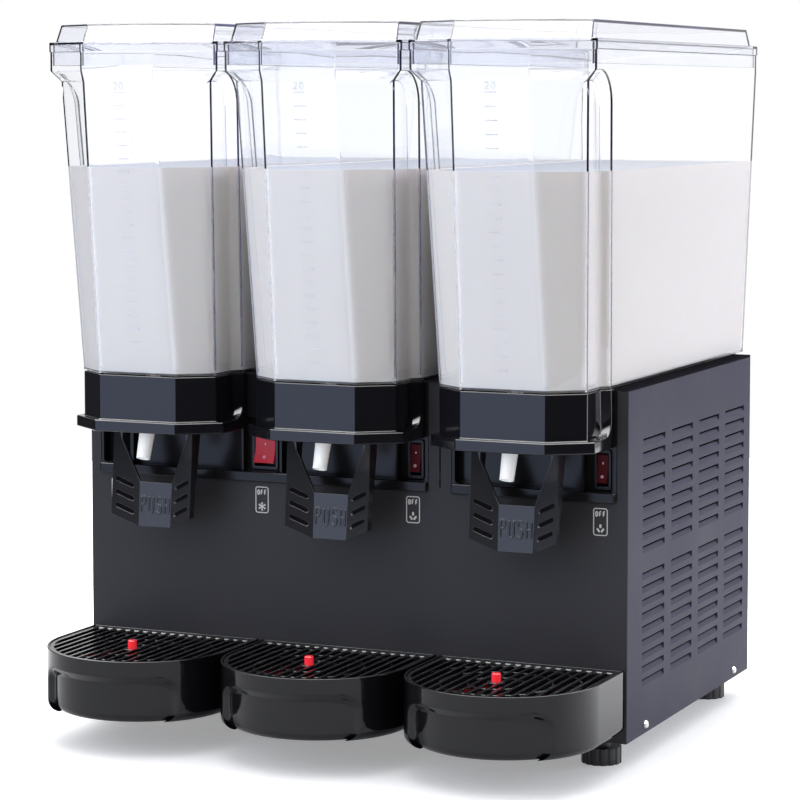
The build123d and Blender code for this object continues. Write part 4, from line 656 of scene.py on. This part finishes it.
def strokeTube(line, width, rise, rows=36):
    # a flat-topped oval carried along the line: c(t) + e(t) (width / 2 cos^p s n(t), rise sin^q s), where
    # e(t) rounds off both ends
    columns = strokeLook["columns"]
    run = np.concatenate([[0], np.cumsum(np.linalg.norm(np.diff(line, axis=0), axis=1))])
    along = run[-1] * (1 - np.cos(np.linspace(0, np.pi, rows))) / 2
    centre = np.column_stack([np.interp(along, run, line[:, 0]), np.interp(along, run, line[:, 1])])
    ahead = np.gradient(centre, axis=0)
    ahead /= np.linalg.norm(ahead, axis=1, keepdims=True)
    normal = np.column_stack([-ahead[:, 1], ahead[:, 0]])
    toEnd = np.minimum(along, run[-1] - along) / (width / 2)
    cap = np.sqrt(1 - np.clip(1 - toEnd, 0, 1) ** 2)[:, None]
    s = (np.arange(columns) + 0.5) * 2 * np.pi / columns
    aside = cap * squared(np.cos(s), strokeLook["sidePower"]) * width / 2
    flat = centre[:, None] + aside[..., None] * normal[:, None]
    return np.dstack([flat, cap * squared(np.sin(s), strokeLook["topPower"]) * rise])


def wordTubes(word, look):
    # the word's letters side by side, centred on the origin; gap is the space between two in letter widths
    width, height, stroke, gap = look["width"], look["height"], look["stroke"], look["gap"]
    letter = width / (len(word) + (len(word) - 1) * gap)
    tubes = []
    for place, sign in enumerate(word):
        shift = np.array([place * letter * (1 + gap) - width / 2, -height / 2])
        for line in letterPaths[sign]:
            inner = line * np.array([letter - stroke, height - stroke]) + stroke / 2
            tubes.append(strokeTube(inner + shift, stroke, look["rise"]))
    return tubes


surfaces = {}
castFrom = -1.0  # y of the rays' start, well in front of the machine


def frontSpot(nodeName, x, z):
    # where a line from the front meets the node, with the surface's own axes: across, up and out
    if nodeName not in surfaces:
        work = bmesh.new()
        work.from_mesh(nodes[nodeName].data)
        surfaces[nodeName] = BVHTree.FromBMesh(work)
        work.free()
    place, out, _, _ = surfaces[nodeName].ray_cast(Vector((x, castFrom, z)), Vector((0, 1, 0)))
    across = (Vector((1, 0, 0)) - out * out.x).normalized()
    return np.array(place), np.array([across, out.cross(across), out])


def placeTubes(tubes, spot, up=0.0):
    # moves flat strokes onto a spot of a surface, and up along it
    place, axes = spot
    return [(tube + np.array([0, up, 0])) @ axes + place for tube in tubes]


# PUSH raised on each lever's middle facet, and a painted dull black shade on the floors of the grooves beside
# it
pushLook = {"z": 0.2267, "width": 33 * mm, "height": 18.8 * mm, "stroke": 2.3 * mm, "rise": 0.75 * mm,
            "gap": 0.26, "fold": 40}
grooveShadeLook = {"spotX": 36 * mm, "spotZ": 0.262, "least": 1.0 * mm, "most": 2.2 * mm, "facing": 0.99}


def paintGrooveShade(name, look):
    # a groove's floor looks the same way as its wing but lies sunk behind it, and there takes the painted
    # black shade
    lever = "push_lever_" + name
    mesh = bpy.data.objects[lever + "_finished"].data
    centres, normals = faceRows(mesh, "center"), faceRows(mesh, "normal")
    grooveShadeFaces = np.zeros(len(mesh.polygons), dtype=bool)
    for side in (-1, 1):
        place, (_, _, out) = frontSpot(lever, moduleX[name] + side * look["spotX"], look["spotZ"])
        depth = (place - centres) @ out
        grooveShadeFaces |= (normals @ out > look["facing"]) & (depth > look["least"]) & (depth < look["most"])
    mesh.materials.append(grooveShadeFinish)
    mesh.polygons.foreach_set("material_index", grooveShadeFaces.astype(np.int32))


for name in moduleNames:
    spot = frontSpot("push_lever_" + name, moduleX[name], pushLook["z"])
    mesh = gridMesh("push_word_" + name, *placeTubes(wordTubes("PUSH", pushLook), spot))
    mesh.set_sharp_from_angle(angle=math.radians(pushLook["fold"]))
    addPiece("push_word_" + name, mesh, finishes["lever_plastic"], "push_lever_" + name)
    paintGrooveShade(name, grooveShadeLook)


# Scale moulded on each tank's front: a number over the top mark and marks down to the floor
scaleLook = {"top": 0.6294, "pitch": 12.6 * mm, "count": 21, "width": 12.0 * mm, "stroke": 1.3 * mm,
             "rise": 0.25 * mm}
numberLook = {"width": 11.0 * mm, "height": 7.4 * mm, "stroke": 1.3 * mm, "rise": 0.25 * mm, "gap": 0.3,
              "up": 6.2 * mm}


def makeScale(name, look):
    spots = [frontSpot("tank_" + name, moduleX[name], look["top"] - step * look["pitch"])
             for step in range(look["count"])]
    line = path((-look["width"] / 2, 0), (look["width"] / 2, 0))
    mark = strokeTube(line, look["stroke"], look["rise"], rows=12)
    tubes = [tube for spot in spots for tube in placeTubes([mark], spot)]
    tubes += placeTubes(wordTubes("20", numberLook), spots[0], numberLook["up"])
    mesh = gridMesh("litre_scale_" + name, *tubes)
    addPiece("litre_scale_" + name, mesh, markFinish, "tank_" + name)


for name in moduleNames:
    makeScale(name, scaleLook)
print("lever words and scales raised")


# Printed labels under the switches: a rounded frame, OFF, and a sign for cooling or mixing. Parts of a sign
# are shares of its size, and their strokes are shares of its stroke.
labelLook = {"z": 0.2322, "shift": 1.6 * mm, "width": 14.4 * mm, "height": 26 * mm, "corner": 2.2 * mm,
             "stroke": 1.0 * mm, "rise": 0.12 * mm, "angles": (95, 470, 2.5)}
offLook = {"width": 10.6 * mm, "height": 5.6 * mm, "stroke": 1.2 * mm, "rise": 0.12 * mm, "gap": 0.22,
           "up": 7.4 * mm}
signLook = {"size": 8.6 * mm, "stroke": 1.2 * mm, "rise": 0.12 * mm, "up": -6.6 * mm}
starLook = {"turns": (90, 30, 150), "forkAt": 0.62, "forkTurn": 0.75, "forkLength": 0.17, "forkStroke": 0.8}
stirLook = {"foot": (0.08, -0.36), "tip": (0.40, 0.06), "bladeStroke": 1.7, "standLow": 0.10,
            "standTop": 0.52, "standStroke": 1.9}


def labelFrame(look):
    # a rounded rectangle: at angle a the quarter's centre plus corner (cos a, sin a), carried past its start
    a = np.radians(np.arange(*look["angles"]))
    way = np.column_stack([np.cos(a), np.sin(a)])
    half = np.array([look["width"] - look["stroke"], look["height"] - look["stroke"]]) / 2
    line = np.sign(way) * (half - look["corner"]) + look["corner"] * way
    return strokeTube(line, look["stroke"], look["rise"], rows=120)


def coolingSign(look, star):
    # a snow star: three bars through the middle, each with a short fork at both ends
    size, stroke, rise = look["size"], look["stroke"], look["rise"]
    tubes = []
    for turn in np.radians(star["turns"]):
        bar = np.array([np.cos(turn), np.sin(turn)]) * size / 2
        tubes.append(strokeTube(path(-bar, bar), stroke, rise, rows=14))
        for end in (-1, 1):
            root = end * bar * star["forkAt"]
            for side in (-star["forkTurn"], star["forkTurn"]):
                fork = end * np.array([np.cos(turn + side), np.sin(turn + side)]) * size * star["forkLength"]
                tubes.append(strokeTube(path(root, root + fork), stroke * star["forkStroke"], rise, rows=10))
    return tubes


def mixingSign(look, stir):
    # a stirrer: two blades that spread from one foot and a third one that stands above them
    size, stroke, rise = look["size"], look["stroke"], look["rise"]
    tubes = []
    for side in (-1, 1):
        blade = path(stir["foot"], stir["tip"]) * np.array([side, 1]) * size
        tubes.append(strokeTube(blade, stroke * stir["bladeStroke"], rise, rows=18))
    stand = path((0, stir["standLow"]), (0, stir["standTop"])) * size
    return [*tubes, strokeTube(stand, stroke * stir["standStroke"], rise, rows=18)]


for nodeName, (x, _, _) in switchPlaces.items():
    spot = frontSpot("front_panel", x + labelLook["shift"], labelLook["z"])
    sign = coolingSign(signLook, starLook) if nodeName == "cooling_rocker" else mixingSign(signLook, stirLook)
    tubes = placeTubes([labelFrame(labelLook)], spot)
    tubes += placeTubes(wordTubes("OFF", offLook), spot, offLook["up"])
    tubes += placeTubes(sign, spot, signLook["up"])
    labelName = nodeName.replace("rocker", "label")
    addPiece(labelName, gridMesh(labelName, *tubes), inkFinish, "cabinet")


# Rocker marks, a stroke above and a ring below, on the rocker's own two faces
rockerMarks = {
    "I": {"up": 6.2 * mm, "width": 3.4 * mm, "height": 3.4 * mm, "stroke": 1.35 * mm, "rise": 0.15 * mm,
          "gap": 0},
    "O": {"up": -6.2 * mm, "width": 3.0 * mm, "height": 3.0 * mm, "stroke": 0.9 * mm, "rise": 0.15 * mm,
          "gap": 0},
}
for nodeName, (x, _, z) in switchPlaces.items():
    tubes = []
    for sign, look in rockerMarks.items():
        tubes += placeTubes(wordTubes(sign, look), frontSpot(nodeName, x, z + look["up"]))
    mesh = gridMesh(nodeName + "_marks", *tubes)
    addPiece(nodeName + "_marks", mesh, rockerInk, nodeName)
print("switches marked")


# Camera at the photograph's viewing angle
cameraLook = {"place": (1.1419, -2.55305, 0.62635), "tilt": 90 - 4.57, "turn": 24.10, "lens": 126.3,
              "sensor": 36.0, "shiftY": -0.1}
cameraData = bpy.data.cameras.new("productCamera")
cameraData.lens = cameraLook["lens"]
cameraData.sensor_width = cameraLook["sensor"]
cameraData.shift_y = cameraLook["shiftY"]
camera = bpy.data.objects.new("productCamera", cameraData)
camera.location = cameraLook["place"]
camera.rotation_euler = (math.radians(cameraLook["tilt"]), 0, math.radians(cameraLook["turn"]))
bpy.context.scene.collection.objects.link(camera)
bpy.context.scene.camera = camera


# Soft boxes, each aimed at a point of the machine; power in watts
lightLooks = {
    "frontBox": {"place": (-1.1, -2.3, 0.5), "aim": (0, -0.1, 0.35), "size": (1.6, 3.0), "power": 20,
                 "colour": (0.78, 0.93, 1.29)},
    "sideBox": {"place": (2.04, 1.27, 0.6), "aim": (0.25, 0, 0.35), "size": (1.2, 1.4), "power": 17,
                "colour": (0.88, 0.93, 1.19)},
    "topBox": {"place": (-0.1, -0.3, 2.2), "aim": (0, 0, 0.3), "size": (1.4, 1.0), "power": 16},
    "rightBox": {"place": (2.15, 0.45, 0.6), "aim": (0.2, -0.1, 0.4), "size": (0.3, 1.2), "power": 5},
}


def addLight(name, look):
    data = bpy.data.lights.new(name, "AREA")
    data.shape = "RECTANGLE"
    data.size, data.size_y = look["size"]
    data.energy = look["power"]
    data.color = look.get("colour", (1, 1, 1))
    light = bpy.data.objects.new(name, data)
    light.location = look["place"]
    light.rotation_euler = (light.location - Vector(look["aim"])).to_track_quat("Z", "Y").to_euler()
    light.visible_camera = False
    light.visible_transmission = False
    bpy.context.scene.collection.objects.link(light)


for name, look in lightLooks.items():
    addLight(name, look)
bounceLimit = 256  # clear walls stand several deep, so light needs many passes through them
cycles = bpy.context.scene.cycles
cycles.max_bounces = bounceLimit
cycles.transmission_bounces = bounceLimit
cycles.transparent_max_bounces = bounceLimit


# World: white for the eye and through clear walls; in gloss white behind the machine and a bright soft box
# above it. Once a ray has met a matt surface it finds the light itself instead: a fill that is stronger from
# the front left.
worldLook = {"clear": 1.12, "fill": 0.30, "lobe": 0.85, "from": (-0.50, -0.85, 0.15), "glossFront": 0.05,
             "glossRear": 0.95, "rearFade": (0.35, 0.7), "glossTop": 12.0, "topFade": (0.4, 0.75)}


def makeWorld(look):
    world = bpy.data.worlds.new("studio")
    world.use_nodes = True
    tree = world.node_tree
    rays = addNode(tree, "ShaderNodeLightPath").outputs
    way = addNode(tree, "ShaderNodeTexCoord").outputs["Generated"]
    axes = axesOf(tree, way)
    through = reckon(tree, "MULTIPLY", rays["Is Transmission Ray"], look["clear"])
    seen = reckon(tree, "MAXIMUM", rays["Is Camera Ray"], through)
    rear = mapped(tree, axes["Y"], look["rearFade"], (look["glossFront"], look["glossRear"]))
    above = mapped(tree, axes["Z"], look["topFade"], (0.0, look["glossTop"]))
    thrown = reckon(tree, "SUBTRACT", rays["Is Glossy Ray"], rays["Is Transmission Ray"], use_clamp=True)
    gloss = reckon(tree, "MULTIPLY", reckon(tree, "ADD", rear, above), thrown)
    facing = reckonVector(tree, "DOT_PRODUCT", way, Vector(look["from"]).normalized())
    fill = mapped(tree, facing, (0.0, 1.0), (look["fill"], look["fill"] + look["lobe"]))
    matt = reckon(tree, "MINIMUM", rays["Diffuse Depth"], 1.0)
    bright = reckon(tree, "MAXIMUM", seen, gloss)
    level = addNode(tree, "ShaderNodeMix", {"Factor": matt, "A": bright, "B": fill})
    sky = tree.nodes["Background"]
    sky.inputs["Color"].default_value = (1, 1, 1, 1)
    tree.links.new(level.outputs["Result"], sky.inputs["Strength"])
    return world


bpy.context.scene.world = makeWorld(worldLook)


# Pale table that keeps the machine's soft shadow and runs out into white: its own light grows with the
# distance from the machine's plan, which is a box with the half sizes given
floorLook = {"low": (-1.3, -0.95), "high": (1.7, 2.1), "colour": (0.86, 0.86, 0.87), "rough": 0.6,
             "plan": (0.26, 0.24, 0), "near": 0.29, "far": 1.0, "fade": (0.0, 0.28), "glossNear": 0.15,
             "glossFade": (-0.30, 0.15)}


def floorFinish(look):
    finish, tree, shader, place = startFinish("studioFloor")
    setSockets(shader, {"Base Color": (*look["colour"], 1), "Roughness": look["rough"],
                        "Emission Color": (1, 1, 1, 1)})
    rays = addNode(tree, "ShaderNodeLightPath").outputs
    beyond = reckonVector(tree, "SUBTRACT", reckonVector(tree, "ABSOLUTE", place), look["plan"])
    distance = reckonVector(tree, "LENGTH", reckonVector(tree, "MAXIMUM", beyond, (0, 0, 0)))
    lift = mapped(tree, distance, look["fade"], (look["near"], look["far"]))
    behind = mapped(tree, axesOf(tree, place)["Y"], look["glossFade"], (look["glossNear"], 1.0))
    direct = reckon(tree, "MAXIMUM", rays["Is Camera Ray"], rays["Is Transmission Ray"])
    mirrored = reckon(tree, "MAXIMUM", direct, reckon(tree, "MULTIPLY", behind, rays["Is Glossy Ray"]))
    fresh = reckon(tree, "SUBTRACT", 1.0, rays["Diffuse Depth"], use_clamp=True)
    glow = reckon(tree, "MULTIPLY", reckon(tree, "MULTIPLY", fresh, mirrored), lift)
    tree.links.new(glow, shader.inputs["Emission Strength"])
    return finish


floorMesh = bpy.data.meshes.new("studioFloor")
(lowX, lowY), (highX, highY) = floorLook["low"], floorLook["high"]
floorCorners = [(lowX, lowY, 0), (highX, lowY, 0), (highX, highY, 0), (lowX, highY, 0)]
floorMesh.from_pydata(floorCorners, [], [(0, 1, 2, 3)])
floorMesh.materials.append(floorFinish(floorLook))
floor = bpy.data.objects.new("studioFloor", floorMesh)
bpy.context.scene.collection.objects.link(floor)
print("camera, lights and floor set")

bpy.context.scene.view_settings.view_transform = "Standard"
